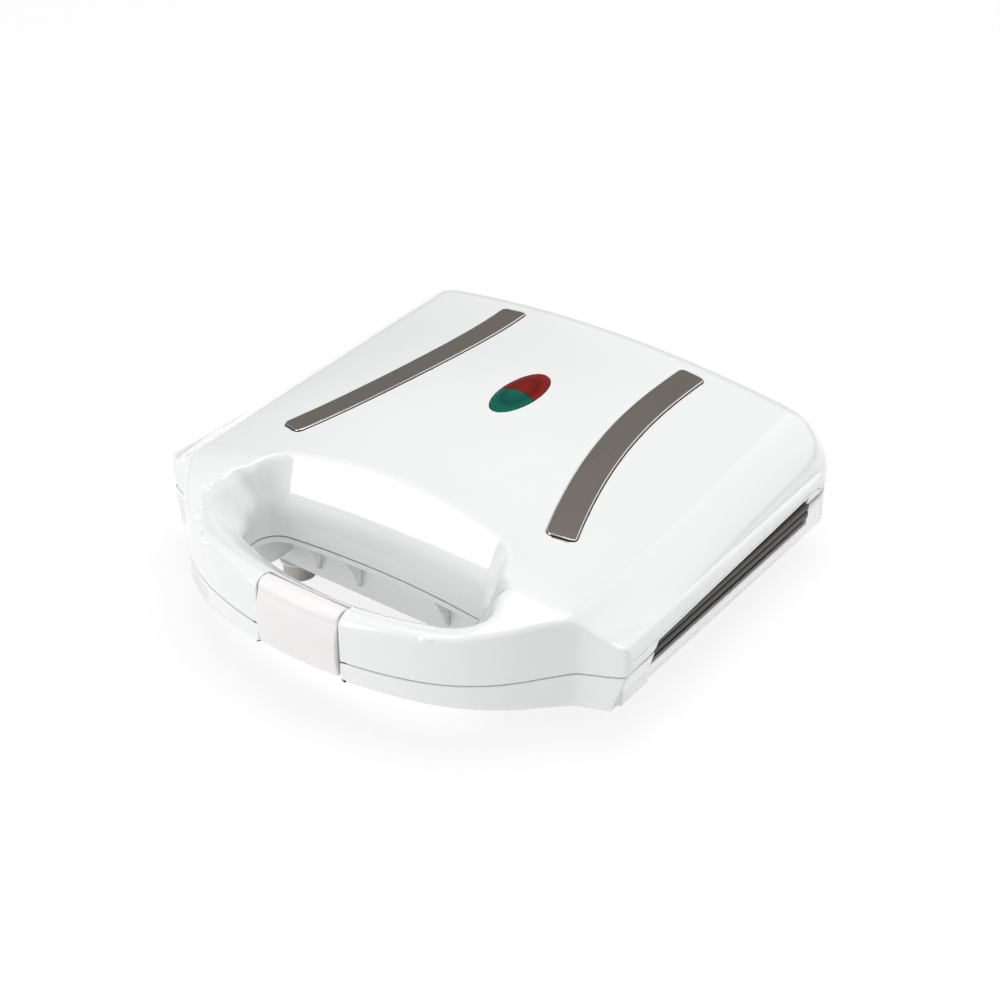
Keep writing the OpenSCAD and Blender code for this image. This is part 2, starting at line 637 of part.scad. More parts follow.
module rubber_feet() color("dimgray") for (k = ears) for (y = foot_ys) {
    rod_z(k * feet_w / 2, y, 0, tub_z, foot_r);
    rod_z(k * feet_w / 2, y, tub_z, tub_z + wall, foot_peg_r);
    rod_z(k * feet_w / 2, y, tub_z + wall, tub_z + wall + foot_bulb_h, foot_bulb_r);
}
module hinge_pins() color("silver") for (k = ears)
    rod_x(k * hinge_x - ear_x1 + slack, k * hinge_x + ear_x1 - slack, hinge_y, parting_z, pin_r);
gland_inside = 4;
gland_proud = 6;
gland_y0 = rear_y - wall - gland_inside;
gland_y1 = rear_y + gland_proud;
module cord_gland() color("gainsboro") difference() {
    union() {
        gland_neck(gland_y0, gland_y1 - slack, 0);
        rod_y(gland_x, rear_y + seat, gland_y1, gland_z, gland_r);
        rod_y(gland_x, gland_y0, rear_y - wall - seat, gland_z, gland_r);
    }
    rod_y(gland_x, gland_y0 - slack, gland_y1 + slack, gland_z, cord_r);
}
block_off = 8;          // distance of the terminal block's middle beside the gland
block_rear = 20;        // distance of its middle in front of the tub's rear wall
block_x = gland_x + block_off;
block_y = tub_y1 - block_rear;
block_w = 30;
block_d = 12;
block_h = 10;
pole = block_w / 3;
port_z = 4;             // height of the block's wire ports above its foot
screw_floor = 3;        // height of the terminal screws' tips above the block's foot
screw_sunk = 2;
terminal_r = screw_r + 0.6;
module terminal_block() color("ivory") difference() {
    box(block_x - block_w / 2, block_x + block_w / 2, block_y - block_d / 2, block_y + block_d / 2,
        tub_z + wall, tub_z + wall + block_h);
    for (i = [-1:1]) {
        rod_z(block_x + i * pole, block_y, tub_z + wall + screw_floor, tub_z + wall + block_h + slack,
            terminal_r + seat);
        rod_y(block_x + i * pole, block_y, block_y + block_d / 2 + slack, lead_z, lead_r + 2 * seat);
    }
}
module terminal_screws() color("goldenrod") for (i = [-1:1])
    rod_z(block_x + i * pole, block_y, tub_z + wall + screw_floor, tub_z + wall + block_h - screw_sunk,
        terminal_r);
element_z = pocket_back + element_r;
module lead(p) for (i = [0:len(p) - 2]) {
    d = p[i + 1] - p[i];
    translate(p[i]) sphere(lead_r + seat, $fn = 24);
    translate(p[i]) rotate([0, acos(d[2] / norm(d)), atan2(d[1], d[0])])
        cylinder(r = lead_r, h = norm(d), $fn = 24);
}
lead_z = tub_z + wall + port_z;
lead_run = 6;           // how far the leads run behind the block, and their last bend lies beside the stud
lead_space = 3 * lead_r;
// From the block's rear the leads pass behind the element's tails and come to its studs from behind.
module base_leads() color("firebrick") for (i = [0, 1]) {
    x = i == 0 ? tail_x : -tail_x;
    port_x = block_x + (i - 1) * pole;
    run_y = block_y + block_d / 2 + lead_run + lead_space * i;
    lead([[port_x, block_y + terminal_r + lead_r + 2 * seat, lead_z], [port_x, run_y, lead_z],
        [x + lead_run, run_y, lead_z], [x, stud_y + lead_r + seat, parting_z - element_z]]);
}

// ---- Lid ----
strip_c = [strip_mid_x + strip_arc_r, rear_y - strip_mid_back];
strip_steps = 20;
strip_across = 3;
module strip_solid(side, sink, proud, grow) {
    turn = grow / strip_arc_r * 180 / PI;
    n = strip_across + 1;
    half = strip_w / 2 + grow;
    spot = [for (i = [0:strip_steps]) for (j = [0:strip_across]) let (
            a = mix(-strip_rear_angle - turn, strip_front_angle + turn, i / strip_steps),
            r = strip_arc_r - half + 2 * half * j / strip_across)
        [side * (strip_c[0] - r * cos(a)), strip_c[1] - r * sin(a)]];
    all = concat([for (q = spot) [q[0], q[1], lid_top(q[0], q[1]) + proud]],
        [for (q = spot) [q[0], q[1], lid_top(q[0], q[1]) - sink]]);
    m = len(spot);
    edge = concat([for (i = [0:strip_steps]) i * n], [for (j = [1:strip_across]) strip_steps * n + j],
        [for (i = [strip_steps - 1:-1:0]) i * n + strip_across], [for (j = [strip_across - 1:-1:1]) j]);
    count = len(edge);
    grid = [for (i = [0:strip_steps - 1]) for (j = [0:strip_across - 1]) each let (k = i * n + j)
        [[k, k + 1, k + n + 1], [k, k + n + 1, k + n]]];
    faces = concat(grid, [for (f = grid) [f[2] + m, f[1] + m, f[0] + m]],
        [for (e = [0:count - 1]) each let (a = edge[e], b = edge[(e + 1) % count])
            [[a, b, b + m], [a, b + m, a + m]]]);
    polyhedron(all, side > 0 ? [for (f = faces) [f[2], f[1], f[0]]] : faces, convexity = 4);
}
module left_trim_strip() color("gray") strip_solid(-1, strip_sunk - seat, strip_proud, 0);
module right_trim_strip() color("gray") strip_solid(1, strip_sunk - seat, strip_proud, 0);

window_y = rear_y - window_back;
lens_z1 = crown_z + bow(window_y) + lens_proud;
holder_z1 = crown_z - wall - fit;
function oval_points(l, w, n) = [for (i = [0:n - 1]) [w / 2 * sin(i * 360 / n), -l / 2 * cos(i * 360 / n)]];
module oval(grow, z0, z1) translate([0, window_y, z0]) linear_extrude(z1 - z0)
    polygon(oval_points(window_l + 2 * grow, window_w + 2 * grow, 48));
divide_r = window_w * 1.1;   // radius of the curved line between the two lenses
module divide(gap) rod_z(0, window_y - divide_r, holder_z1 - slack, lens_z1 + slack, divide_r + gap);
module ready_lens() color("darkgreen") intersection() {
    oval(-lens_gap, holder_z1, lens_z1);
    divide(-seat);
}
module power_lens() color("darkred") difference() {
    oval(-lens_gap, holder_z1, lens_z1);
    divide(seat);
}
holder_h = 9;
lamp_y = window_l / 4 + lamp_r / 2;
holder_rim = 4;
lamp_z = holder_z1 - holder_h / 2;
module lamp_pocket(y)
    rod_x(-window_w / 2 - slack, window_w / 2 + slack, window_y + y, lamp_z, lamp_r + 2 * seat);
module lamp_holder() color("whitesmoke") difference() {
    box(-window_w / 2 - holder_rim, window_w / 2 + holder_rim, window_y - window_l / 2 - holder_rim,
        window_y + window_l / 2 + holder_rim, holder_z1 - holder_h, holder_z1);
    for (s = ears) {
        lamp_pocket(s * lamp_y);
        box(-window_w / 4, window_w / 4, window_y + s * lamp_y - lamp_r / 2,
            window_y + s * lamp_y + lamp_r / 2, lamp_z, holder_z1 + slack);
    }
}
module lamp(s)
    rod_x(-window_w / 2, window_w / 2, window_y + s * lamp_y, lamp_z, lamp_r);
module power_lamp() color("orange") lamp(1);
module ready_lamp() color("palegreen") lamp(-1);

tray_top_z = parting_z + tray_back;
part_x = 42;            // distance of the thermostat and of the thermal fuse from the middle
can_r = 9;              // thermostat's can and the strap over it
can_h = 5;
strap_l = 28;
strap_d = 6;
strap_t = 1;
module thermostat() color("lightgray") {
    rod_z(-part_x, plate_mid_y, tray_top_z, tray_top_z + can_h, can_r);
    box(-part_x - strap_l / 2, -part_x + strap_l / 2, plate_mid_y - strap_d / 2, plate_mid_y + strap_d / 2,
        tray_top_z + can_h, tray_top_z + can_h + strap_t);
}
fuse_r = 2;
fuse_l = 16;
fuse_z = tray_top_z + 2 * fuse_r;
clip_w = 8;
module thermal_fuse() color("gainsboro")
    rod_y(part_x, plate_mid_y - fuse_l / 2, plate_mid_y + fuse_l / 2, fuse_z, fuse_r);
module fuse_clip() color("silver") difference() {
    y0 = plate_mid_y - clip_w / 2;
    y1 = plate_mid_y + clip_w / 2;
    box(part_x - clip_w / 2, part_x + clip_w / 2, y0, y1, tray_top_z, fuse_z + fuse_r / 2);
    rod_y(part_x, y0 - slack, y1 + slack, fuse_z, fuse_r + seat);
    box(part_x - fuse_r, part_x + fuse_r, y0 - slack, y1 + slack, fuse_z, fuse_z + fuse_r);
}
lid_lead_y = stud_y + 4;      // line along which the lid's leads cross behind the plate
module lid_leads() color("firebrick") {
    lead([[part_x, plate_mid_y + fuse_l / 2 + lead_r, fuse_z], [part_x, lid_lead_y, fuse_z],
        [tail_x, lid_lead_y, parting_z + element_z], [tail_x, stud_y + lead_r, parting_z + element_z]]);
    lead([[-part_x, plate_mid_y + can_r + lead_r, fuse_z], [-part_x, lid_lead_y, fuse_z],
        [-tail_x, lid_lead_y, parting_z + element_z], [-tail_x, stud_y + lead_r, parting_z + element_z]]);
}
boss_r = 2.8;                 // bosses that hold the latch pin's ends
boss_l = 3;
boss_x = notch_x + wall + boss_l;
module lid_inside() lid_solid(wall / 2, lid_z0);
module lid_housing() color("white") difference() {
    union() {
        difference() {
            lid_solid(0, lid_z0);
            difference() {
                lid_solid(wall, lid_z0 - slack);
                bowl(wall);
                notch(wall, lid_z0 - 2 * slack, crown_z);
            }
        }
        intersection() {
            union() {
                upper_half() {
                    posts(lid_rise);
                    ledges(lip_front, half_w);
                }
                both_sides() rod_x(notch_x, boss_x, barrel_y, barrel_z, boss_r);
            }
            lid_inside();
        }
        for (k = ears) knuckle(k * hinge_x - knuckle_l / 2, k * hinge_x + knuckle_l / 2,
            parting_z, parting_z + web_h);
    }
    bowl(0);
    notch(0, lid_z0 - slack, crown_z);
    side_gap(lid_z0 - slack, parting_z + gap_above);
    for (s = ears) strip_solid(s, strip_sunk, wall, strip_gap);
    oval(0, crown_z - 2 * wall, lens_z1);
    for (k = ears) pin_bore(k * hinge_x - knuckle_l, k * hinge_x + knuckle_l);
    rod_x(-boss_x - slack, boss_x + slack, barrel_y, barrel_z, latch_pin_r + pin_play);
}

// ---- Latch ----
bulge_y = front_y - latch_proud;
latch_dish = latch_proud + barrel_inset;   // how much the blade's ends lie behind its middle
blade_y = bulge_y + latch_dish + blade_t;
module latch() color("mistyrose") difference() {
    union() {
        intersection() {
            rotate([90, 0, 90]) linear_extrude(2 * latch_half_w, center = true) polygon(concat(
                [for (i = [0:12]) let (t = i / 12, z = mix(barrel_z, latch_z0, t))
                    [bulge_y + latch_dish * pow(2 * t - 1, 2), z]],
                [[blade_y, latch_z0], [blade_y, barrel_z - barrel_r / 2], [barrel_y, barrel_z]]));
            rod_z(nose_c[0], nose_c[1], latch_z0 - slack, crown_z, nose_r + latch_proud);
        }
        rod_x(-latch_half_w, latch_half_w, barrel_y, barrel_z, barrel_r);
        box(-catch_half_w, catch_half_w, blade_y - slack, notch_y + wall / 2,
            catch_z, catch_z + catch_h);
    }
    rod_x(-latch_half_w - slack, latch_half_w + slack, barrel_y, barrel_z, latch_pin_r + pin_play);
}
module latch_pin() color("silver") rod_x(-boss_x + slack, boss_x - slack, barrel_y, barrel_z, latch_pin_r);

base_housing();
lower_plate();
lower_element();
lower_tray();
lower_plate_screws();
rubber_feet();
terminal_block();
terminal_screws();
cord_gland();
base_leads();
hinge_pins();
lid_housing();
left_trim_strip();
right_trim_strip();
power_lens();
ready_lens();
lamp_holder();
power_lamp();
ready_lamp();
upper_plate();
upper_element();
upper_tray();
upper_plate_screws();
thermostat();
thermal_fuse();
fuse_clip();
lid_leads();
latch();
latch_pin();
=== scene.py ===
import math
import bpy
import bmesh
import numpy as np
from mathutils import Matrix, Vector
from mathutils.geometry import delaunay_2d_cdt


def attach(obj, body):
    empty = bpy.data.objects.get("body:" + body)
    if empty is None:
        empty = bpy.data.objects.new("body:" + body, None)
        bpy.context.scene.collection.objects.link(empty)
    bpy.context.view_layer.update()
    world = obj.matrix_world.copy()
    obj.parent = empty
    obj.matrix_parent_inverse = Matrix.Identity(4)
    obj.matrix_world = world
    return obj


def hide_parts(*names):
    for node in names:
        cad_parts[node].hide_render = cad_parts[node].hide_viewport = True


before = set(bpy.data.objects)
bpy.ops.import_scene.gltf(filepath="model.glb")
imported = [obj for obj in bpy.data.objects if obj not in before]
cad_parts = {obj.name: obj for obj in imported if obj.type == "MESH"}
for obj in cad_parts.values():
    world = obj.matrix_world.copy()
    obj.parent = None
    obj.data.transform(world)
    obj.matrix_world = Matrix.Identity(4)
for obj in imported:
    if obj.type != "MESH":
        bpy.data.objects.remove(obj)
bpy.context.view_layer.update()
print("frame loaded")

# Sizes are in millimetres in the frame's own axes, and are turned into metres when a mesh is made.
body = {
    "halfWidth": 115.5,
    "frontY": -118.0,
    "rearY": 109.0,
    "partingZ": 34.5,
    "crownZ": 73.5,
    "rearHalfWidth": 111.5,
    "rearCornerRadius": 19.0,
    "noseRadius": 155.0,
    "noseAngle": 18.8,
    "shoulderRadius": 75.0,
    "cheekAngle": 52.0,
    "cheekLength": 16.6,
    "flareRadius": 12.0,
    "flareAngle": 25.0,
    "cornerRadius": 5.0,
    "halfGap": 0.2,  # each housing stays this far from the parting plane
}
noseCentre = np.array([0.0, body["frontY"] + body["noseRadius"]])


# Plane curves.
def away(angle):
    t = np.radians(angle)
    return np.stack([np.sin(t), -np.cos(t)], -1)


def arc(centre, radius, a, b, step=1.1):
    count = max(3, int(abs(radius * math.radians(b - a)) / step) + 1)
    return np.asarray(centre) + radius * away(np.linspace(a, b, count))


def line(p, q, step=1.6):
    p, q = np.asarray(p, float), np.asarray(q, float)
    count = max(2, int(np.linalg.norm(q - p) / step) + 1)
    return p + (q - p) * np.linspace(0, 1, count)[:, None]


def joined(parts, gap=0.02):
    out = []
    for part in parts:
        for p in part:
            if not out or np.hypot(*(p - out[-1])) > gap:
                out.append(p)
    if np.hypot(*(out[0] - out[-1])) <= gap:
        out.pop()
    return np.array(out)


def mirrored(part):
    return part[::-1] * [-1, 1]


def roundedLoop(w, front, rear, r, frontStep, arcStep, sideStep):
    # A rectangle with rounded corners, the same on both sides of the middle.
    right = joined([
        line([0, front], [w - r, front], frontStep),
        arc([w - r, front + r], r, 0, 90, arcStep),
        line([w, front + r], [w, rear - r], sideStep),
        arc([w - r, rear - r], r, 90, 180, arcStep),
        line([w - r, rear], [0, rear], sideStep),
    ])
    return joined([right, mirrored(right)])


def rectangle(x0, y0, x1, y1, step):
    corners = [(x0, y0), (x1, y0), (x1, y1), (x0, y1)]
    return joined([line(p, q, step) for p, q in zip(corners, corners[1:] + corners[:1])])


def gridOf(xs, ys):
    xs, ys = np.meshgrid(xs, ys)
    return np.column_stack([xs.ravel(), ys.ravel()])


def normalsOf(loop):
    # Outward normals of a closed loop that runs anticlockwise.
    ahead, behind = np.roll(loop, -1, 0) - loop, loop - np.roll(loop, 1, 0)
    ahead /= np.linalg.norm(ahead, axis=1)[:, None]
    behind /= np.linalg.norm(behind, axis=1)[:, None]
    mean = ahead + behind
    mean /= np.linalg.norm(mean, axis=1)[:, None]
    return np.stack([mean[:, 1], -mean[:, 0]], -1)


def nearest(points, loop):
    # Distance of each point from a closed loop, the place on it, and the share along its segment.
    ends = np.roll(loop, -1, 0)
    along = ends - loop
    squared = (along ** 2).sum(1)
    distance, index, share = [], [], []
    for start in range(0, len(points), 1500):
        block = points[start:start + 1500, None, :] - loop[None]
        t = np.clip((block * along[None]).sum(2) / squared[None], 0, 1)
        gap = np.linalg.norm(block - t[..., None] * along[None], axis=2)
        best = gap.argmin(1)
        rows = np.arange(len(best))
        distance.append(gap[rows, best])
        index.append(best)
        share.append(t[rows, best])
    return np.concatenate(distance), np.concatenate(index), np.concatenate(share)


def inside(points, loop):
    ends = np.roll(loop, -1, 0)
    result = []
    for start in range(0, len(points), 1500):
        x, y = points[start:start + 1500, 0:1], points[start:start + 1500, 1:2]
        crosses = (loop[None, :, 1] > y) != (ends[None, :, 1] > y)
        slope = (ends[:, 0] - loop[:, 0]) / np.where(ends[:, 1] == loop[:, 1], 1e-9, ends[:, 1] - loop[:, 1])
        at = loop[None, :, 0] + (y - loop[None, :, 1]) * slope[None]
        result.append(((crosses & (x < at)).sum(1) % 2) == 1)
    return np.concatenate(result)


def ramp(t):
    t = np.clip(t, 0, 1)
    return t * t * (3 - 2 * t)


def mix(a, b, t):
    return a + (b - a) * np.clip(t, 0, 1)


def softMin(a, b, width):
    h = np.clip(0.5 + 0.5 * (b - a) / width, 0, 1)
    return b + (a - b) * h - width * h * (1 - h)


def within(points, loop, reach):
    # Distance from a closed loop where it is below the reach, and the reach elsewhere.
    distance = np.full(len(points), float(reach))
    low, high = loop.min(0) - reach, loop.max(0) + reach
    rows = np.flatnonzero(((points > low) & (points < high)).all(1))
    if len(rows):
        spacing = np.linalg.norm(np.roll(loop, -1, 0) - loop, axis=1)
        coarse = loop[::6]
        slack = reach + 6 * spacing.max()
        rough = np.concatenate([np.linalg.norm(points[rows[k:k + 3000], None] - coarse[None], axis=2).min(1)
                                for k in range(0, len(rows), 3000)])
        rows = rows[rough < slack]
    if len(rows):
        distance[rows] = np.minimum(reach, nearest(points[rows], loop)[0])
    return distance


def edgeFall(distance, radius):
    # How far a rounded edge lies below the surface at a distance inside its outline.
    inner = np.clip(radius - distance, 0, radius)
    return radius - np.sqrt(np.maximum(radius * radius - inner * inner, 0))


# Meshes.
class Build:
    def __init__(self):
        self.points, self.normals, self.faces, self.count = [], [], [], 0

    def add(self, points, normals, faces):
        self.points.append(np.asarray(points, float))
        self.normals.append(np.asarray(normals, float))
        self.faces += [[i + self.count for i in f] for f in faces]
        self.count += len(points)

    def object(self, name, material, slot, rides, replaces=()):
        mesh = bpy.data.meshes.new(name)
        points = np.concatenate(self.points) / 1000
        mesh.from_pydata(points.tolist(), [], self.faces)
        mesh.update()
        mesh.polygons.foreach_set("use_smooth", [True] * len(mesh.polygons))
        normals = np.concatenate(self.normals)
        length = np.linalg.norm(normals, axis=1)[:, None]
        mesh.normals_split_custom_set_from_vertices((normals / np.where(length > 0, length, 1)).tolist())
        return place(mesh, name, material, rides, replaces)


def place(mesh, name, material, rides, replaces=()):
    made = bpy.data.objects.new(name, mesh)
    bpy.context.scene.collection.objects.link(made)
    mesh.materials.clear()
    mesh.materials.append(material)
    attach(made, rides)
    if replaces:
        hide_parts(*replaces)
    return made


def sheetOver(build, outer, holes, extra, height, up=1, clear=0.35, step=0.03, upright=()):
    # Covers the region between loops with triangles at height(x, y), facing up or down. The points of
    # the loops in upright take their normals from the wall below, so that the edge is shaded as one.
    loops = [outer] + list(holes)
    extra = np.asarray(extra, float).reshape(-1, 2)
    if len(extra):
        keep = inside(extra, outer) & (within(extra, outer, clear + 0.1) > clear)
        for hole in holes:
            keep &= ~inside(extra, hole) & (within(extra, hole, clear + 0.1) > clear)
        extra = extra[keep]
    flat = np.concatenate(loops + [extra])
    edges, start = [], 0
    for loop in loops:
        edges += [(start + i, start + (i + 1) % len(loop)) for i in range(len(loop))]
        start += len(loop)
    found = delaunay_2d_cdt([Vector(p) for p in flat.tolist()], edges, [], 0, 1e-6)
    spots = np.array([(p.x, p.y) for p in found[0]])
    faces = np.array([f for f in found[2] if len(f) == 3])
    middle = spots[faces].mean(1)
    keep = inside(middle, outer)
    for hole in holes:
        keep &= ~inside(middle, hole)
    faces = faces[keep]
    a, b, c = spots[faces[:, 0]], spots[faces[:, 1]], spots[faces[:, 2]]
    turn = (b[:, 0] - a[:, 0]) * (c[:, 1] - a[:, 1]) - (b[:, 1] - a[:, 1]) * (c[:, 0] - a[:, 0])
    faces[turn * up < 0] = faces[turn * up < 0][:, ::-1]
    z = height(spots)
    dx = (height(spots + [step, 0]) - z) / step
    dy = (height(spots + [0, step]) - z) / step
    normals = np.stack([-dx * up, -dy * up, np.full(len(z), float(up))], -1)
    for loop, across, chosen in upright:
        rows = np.flatnonzero(within(spots, loop, 0.01) < 0.001)
        at = np.linalg.norm(spots[rows, None] - loop[None], axis=2).argmin(1)
        rows, at = rows[chosen[at]], at[chosen[at]]
        normals[rows] = np.column_stack([across[at], np.zeros(len(at))])
    build.add(np.column_stack([spots, z]), normals, faces.tolist())


def wallAlong(build, loop, rows, side=1):
    # Rows of points below a loop: each row is (outward offset, height, outward lean, upward lean).
    out = normalsOf(loop)
    count = len(loop)
    points, normals = [], []
    for offset, z, lean, rise in rows:
        offset, z = np.broadcast_to(offset, count), np.broadcast_to(z, count)
        lean, rise = np.broadcast_to(lean, count), np.broadcast_to(rise, count)
        points.append(np.column_stack([loop + out * offset[:, None] * side, z]))
        normals.append(np.column_stack([out * lean[:, None] * side, rise]))
    faces = []
    for r in range(len(rows) - 1):
        for i in range(count):
            j = (i + 1) % count
            quad = [r * count + i, (r + 1) * count + i, (r + 1) * count + j, r * count + j]
            faces.append(quad if side > 0 else quad[::-1])
    build.add(np.concatenate(points), np.concatenate(normals), faces)


def ringsInside(loop, offsets):
    out = normalsOf(loop)
    return np.concatenate([loop - out * d for d in offsets])


def roundedBar(build, low, high, radius):
    # A block with rounded edges.
    low, high = np.array(low, float), np.array(high, float)
    radius = min(radius, *((high - low) / 2.05))
    bm = bmesh.new()
    bmesh.ops.create_cube(bm, size=1)
    for v in bm.verts:
        v.co = Vector((low + high) / 2) + Vector(np.array(v.co) * (high - low))
    bmesh.ops.bevel(bm, geom=bm.edges[:], offset=radius, segments=3, profile=0.5, affect="EDGES")
    takeFrom(build, bm)


def takeFrom(build, bm):
    bm.normal_update()
    bm.verts.index_update()
    build.add([v.co[:] for v in bm.verts], [v.normal[:] for v in bm.verts],
              [[v.index for v in f.verts] for f in bm.faces])
    bm.free()


def turned(build, axis, origin, profile, steps):
    # A lathed piece: profile holds (distance along the axis, radius) and each step gets its own normals.
    axis, origin = np.array(axis, float), np.array(origin, float)
    side = np.array([0, 0, 1.0]) if abs(axis[2]) < 0.5 else np.array([1.0, 0, 0])
    other = np.cross(axis, side)
    t = np.linspace(0, 2 * math.pi, steps, endpoint=False)
    ring = np.cos(t)[:, None] * side + np.sin(t)[:, None] * other
    for (a, ra), (b, rb) in zip(profile[:-1], profile[1:]):
        along, out = rb - ra, b - a
        normal = ring * out - axis * along
        points = np.concatenate([origin + axis * a + ring * ra, origin + axis * b + ring * rb])
        faces = [[i, (i + 1) % steps, steps + (i + 1) % steps, steps + i] for i in range(steps)]
        build.add(points, np.concatenate([normal, normal]), faces)


def softProfile(a, b, radius, edge):
    # Outline of a round pin or knuckle from a to b with rounded ends.
    t = np.linspace(0, math.pi / 2, 5)
    first = [(a + edge - edge * math.cos(u), radius - edge + edge * math.sin(u)) for u in t]
    return [(a, 0.0)] + first + [(a + b - p, r) for p, r in first[::-1]] + [(b, 0.0)]


# Materials.
def makeMaterial(name):
    material = bpy.data.materials.new(name)
    material.use_nodes = True
    tree = material.node_tree
    return material, tree, tree.nodes["Principled BSDF"]


def feed(tree, made, key, value):
    # A socket is linked to the input, and any other value is set on it.
    if isinstance(value, bpy.types.NodeSocket):
        tree.links.new(value, made.inputs[key])
    else:
        made.inputs[key].default_value = value


def feedAll(tree, made, values):
    for key, value in values.items():
        feed(tree, made, key, value)


def node(tree, kind, *values, **settings):
    # Settings name an input or a property, and the values fill the inputs in order.
    made = tree.nodes.new(kind)
    for key, value in settings.items():
        if key in made.inputs:
            feed(tree, made, key, value)
        else:
            setattr(made, key, value)
    feedAll(tree, made, dict(enumerate(values)))
    return made


def maths(tree, operation, *values):
    return node(tree, "ShaderNodeMath", *values, operation=operation).outputs[0]


def objectSpace(tree):
    return node(tree, "ShaderNodeTexCoord").outputs["Object"]


def noise(tree, space, scale, detail):
    return node(tree, "ShaderNodeTexNoise", Vector=space, Scale=scale, Detail=detail).outputs["Fac"]


def remap(tree, value, low, high, source=(0.0, 1.0)):
    made = node(tree, "ShaderNodeMapRange", Value=value)
    feedAll(tree, made, {"From Min": source[0], "From Max": source[1], "To Min": low, "To Max": high})
    return made.outputs[0]


def scaled(tree, color, amount):
    return node(tree, "ShaderNodeVectorMath", color, operation="SCALE", Scale=amount).outputs[0]


def blended(tree, factor, first, second):
    made = node(tree, "ShaderNodeMix", data_type="RGBA", Factor=factor)
    feedAll(tree, made, {6: first, 7: second})
    return made.outputs[2]


def group(name, inputs, outputs):
    # Kinds are Color, Float and Vector.
    made = bpy.data.node_groups.new(name, "ShaderNodeTree")
    for label, kind, value in inputs:
        socket = made.interface.new_socket(name=label, in_out="INPUT", socket_type="NodeSocket" + kind)
        socket.default_value = value
    for label, kind in outputs:
        made.interface.new_socket(name=label, in_out="OUTPUT", socket_type="NodeSocket" + kind)
    return made, made.nodes.new("NodeGroupInput").outputs, made.nodes.new("NodeGroupOutput")


def mouldedGroup():
    # Faint waviness and fine grain of moulded plastic, with a slight change of tone and gloss.
    tree, given, result = group("mouldedPlastic", [
        ("Color", "Color", (0.8, 0.8, 0.8, 1)),
        ("Roughness", "Float", 0.2),
        ("Wave", "Float", 0.1),
        ("Grain", "Float", 0.1),
    ], [("Color", "Color"), ("Roughness", "Float"), ("Height", "Float")])
    space = objectSpace(tree)
    wave = maths(tree, "MULTIPLY", noise(tree, space, 28.0, 2.0), given["Wave"])
    grain = maths(tree, "MULTIPLY", noise(tree, space, 2600.0, 3.0), given["Grain"])
    tone = noise(tree, space, 11.0, 4.0)
    gloss = maths(tree, "MULTIPLY_ADD", tone, 0.06, given["Roughness"])
    feedAll(tree, result, {
        "Color": scaled(tree, given["Color"], remap(tree, tone, 0.985, 1.015, (0.3, 0.7))),
        "Roughness": maths(tree, "SUBTRACT", gloss, 0.03),
        "Height": maths(tree, "ADD", wave, grain),
    })
    return tree


def speckledGroup():
    # Small scattered specks, as on a sprayed or cast surface.
    tree, given, result = group("speckled", [
        ("Color", "Color", (0.1, 0.1, 0.1, 1)),
        ("Speck", "Color", (0.3, 0.3, 0.3, 1)),
        ("Scale", "Float", 900.0),
        ("Share", "Float", 0.2),
    ], [("Color", "Color"), ("Height", "Float")])
    space = objectSpace(tree)
    cells = node(tree, "ShaderNodeTexVoronoi", Vector=space, Scale=given["Scale"]).outputs["Distance"]
    near = maths(tree, "LESS_THAN", cells, given["Share"])
    weight = maths(tree, "MULTIPLY", near, noise(tree, space, 24.0, 4.0))
    feedAll(tree, result, {
        "Color": blended(tree, weight, given["Color"], given["Speck"]),
        "Height": cells,
    })
    return tree


def brushedGroup():
    # Fine scratches along one direction of the object, with a change of gloss between them.
    tree, given, result = group("brushedMetal", [
        ("Color", "Color", (0.5, 0.5, 0.5, 1)),
        ("Roughness", "Float", 0.3),
        ("Stretch", "Vector", (1.0, 1.0, 1.0)),
        ("Contrast", "Float", 0.1),
    ], [("Color", "Color"), ("Roughness", "Float"), ("Height", "Float")])
    spread = node(tree, "ShaderNodeVectorMath", objectSpace(tree), given["Stretch"], operation="MULTIPLY")
    streak = noise(tree, spread.outputs[0], 100.0, 5.0)
    change = maths(tree, "MULTIPLY", maths(tree, "SUBTRACT", streak, 0.5), given["Contrast"])
    feedAll(tree, result, {
        "Color": scaled(tree, given["Color"], maths(tree, "ADD", change, 1.0)),
        "Roughness": maths(tree, "ADD", given["Roughness"], change),
        "Height": streak,
    })
    return tree


moulded, speckled, brushed = mouldedGroup(), speckledGroup(), brushedGroup()


def useBump(tree, shader, height, distance, strength=1.0):
    bump = node(tree, "ShaderNodeBump", Distance=distance, Strength=strength, Height=height)
    feed(tree, shader, "Normal", bump.outputs[0])


def plastic(name, color, roughness, wave=0.2, grain=0.02, coat=0.0, bump=0.0002):
    material, tree, shader = makeMaterial(name)
    look = node(tree, "ShaderNodeGroup", node_tree=moulded,
                Color=(*color, 1), Roughness=roughness, Wave=wave, Grain=grain).outputs
    feedAll(tree, shader, {"Base Color": look["Color"], "Roughness": look["Roughness"],
                           "Coat Weight": coat, "Coat Roughness": 0.05})
    useBump(tree, shader, look["Height"], bump)
    return material


def metal(name, color, roughness, stretch, contrast=0.3, bump=0.00003, metallic=1.0):
    material, tree, shader = makeMaterial(name)
    look = node(tree, "ShaderNodeGroup", node_tree=brushed,
                Color=(*color, 1), Roughness=roughness, Stretch=stretch, Contrast=contrast).outputs
    feedAll(tree, shader, {"Base Color": look["Color"], "Roughness": look["Roughness"],
                           "Metallic": metallic})
    useBump(tree, shader, look["Height"], bump)
    return material


def coated(name, color, speck, roughness, scale, share, bump, metallic=0.0):
    material, tree, shader = makeMaterial(name)
    look = node(tree, "ShaderNodeGroup", node_tree=speckled,
                Color=(*color, 1), Speck=(*speck, 1), Scale=scale, Share=share).outputs
    feedAll(tree, shader, {"Base Color": look["Color"], "Roughness": roughness, "Metallic": metallic})
    useBump(tree, shader, look["Height"], bump)
    return material


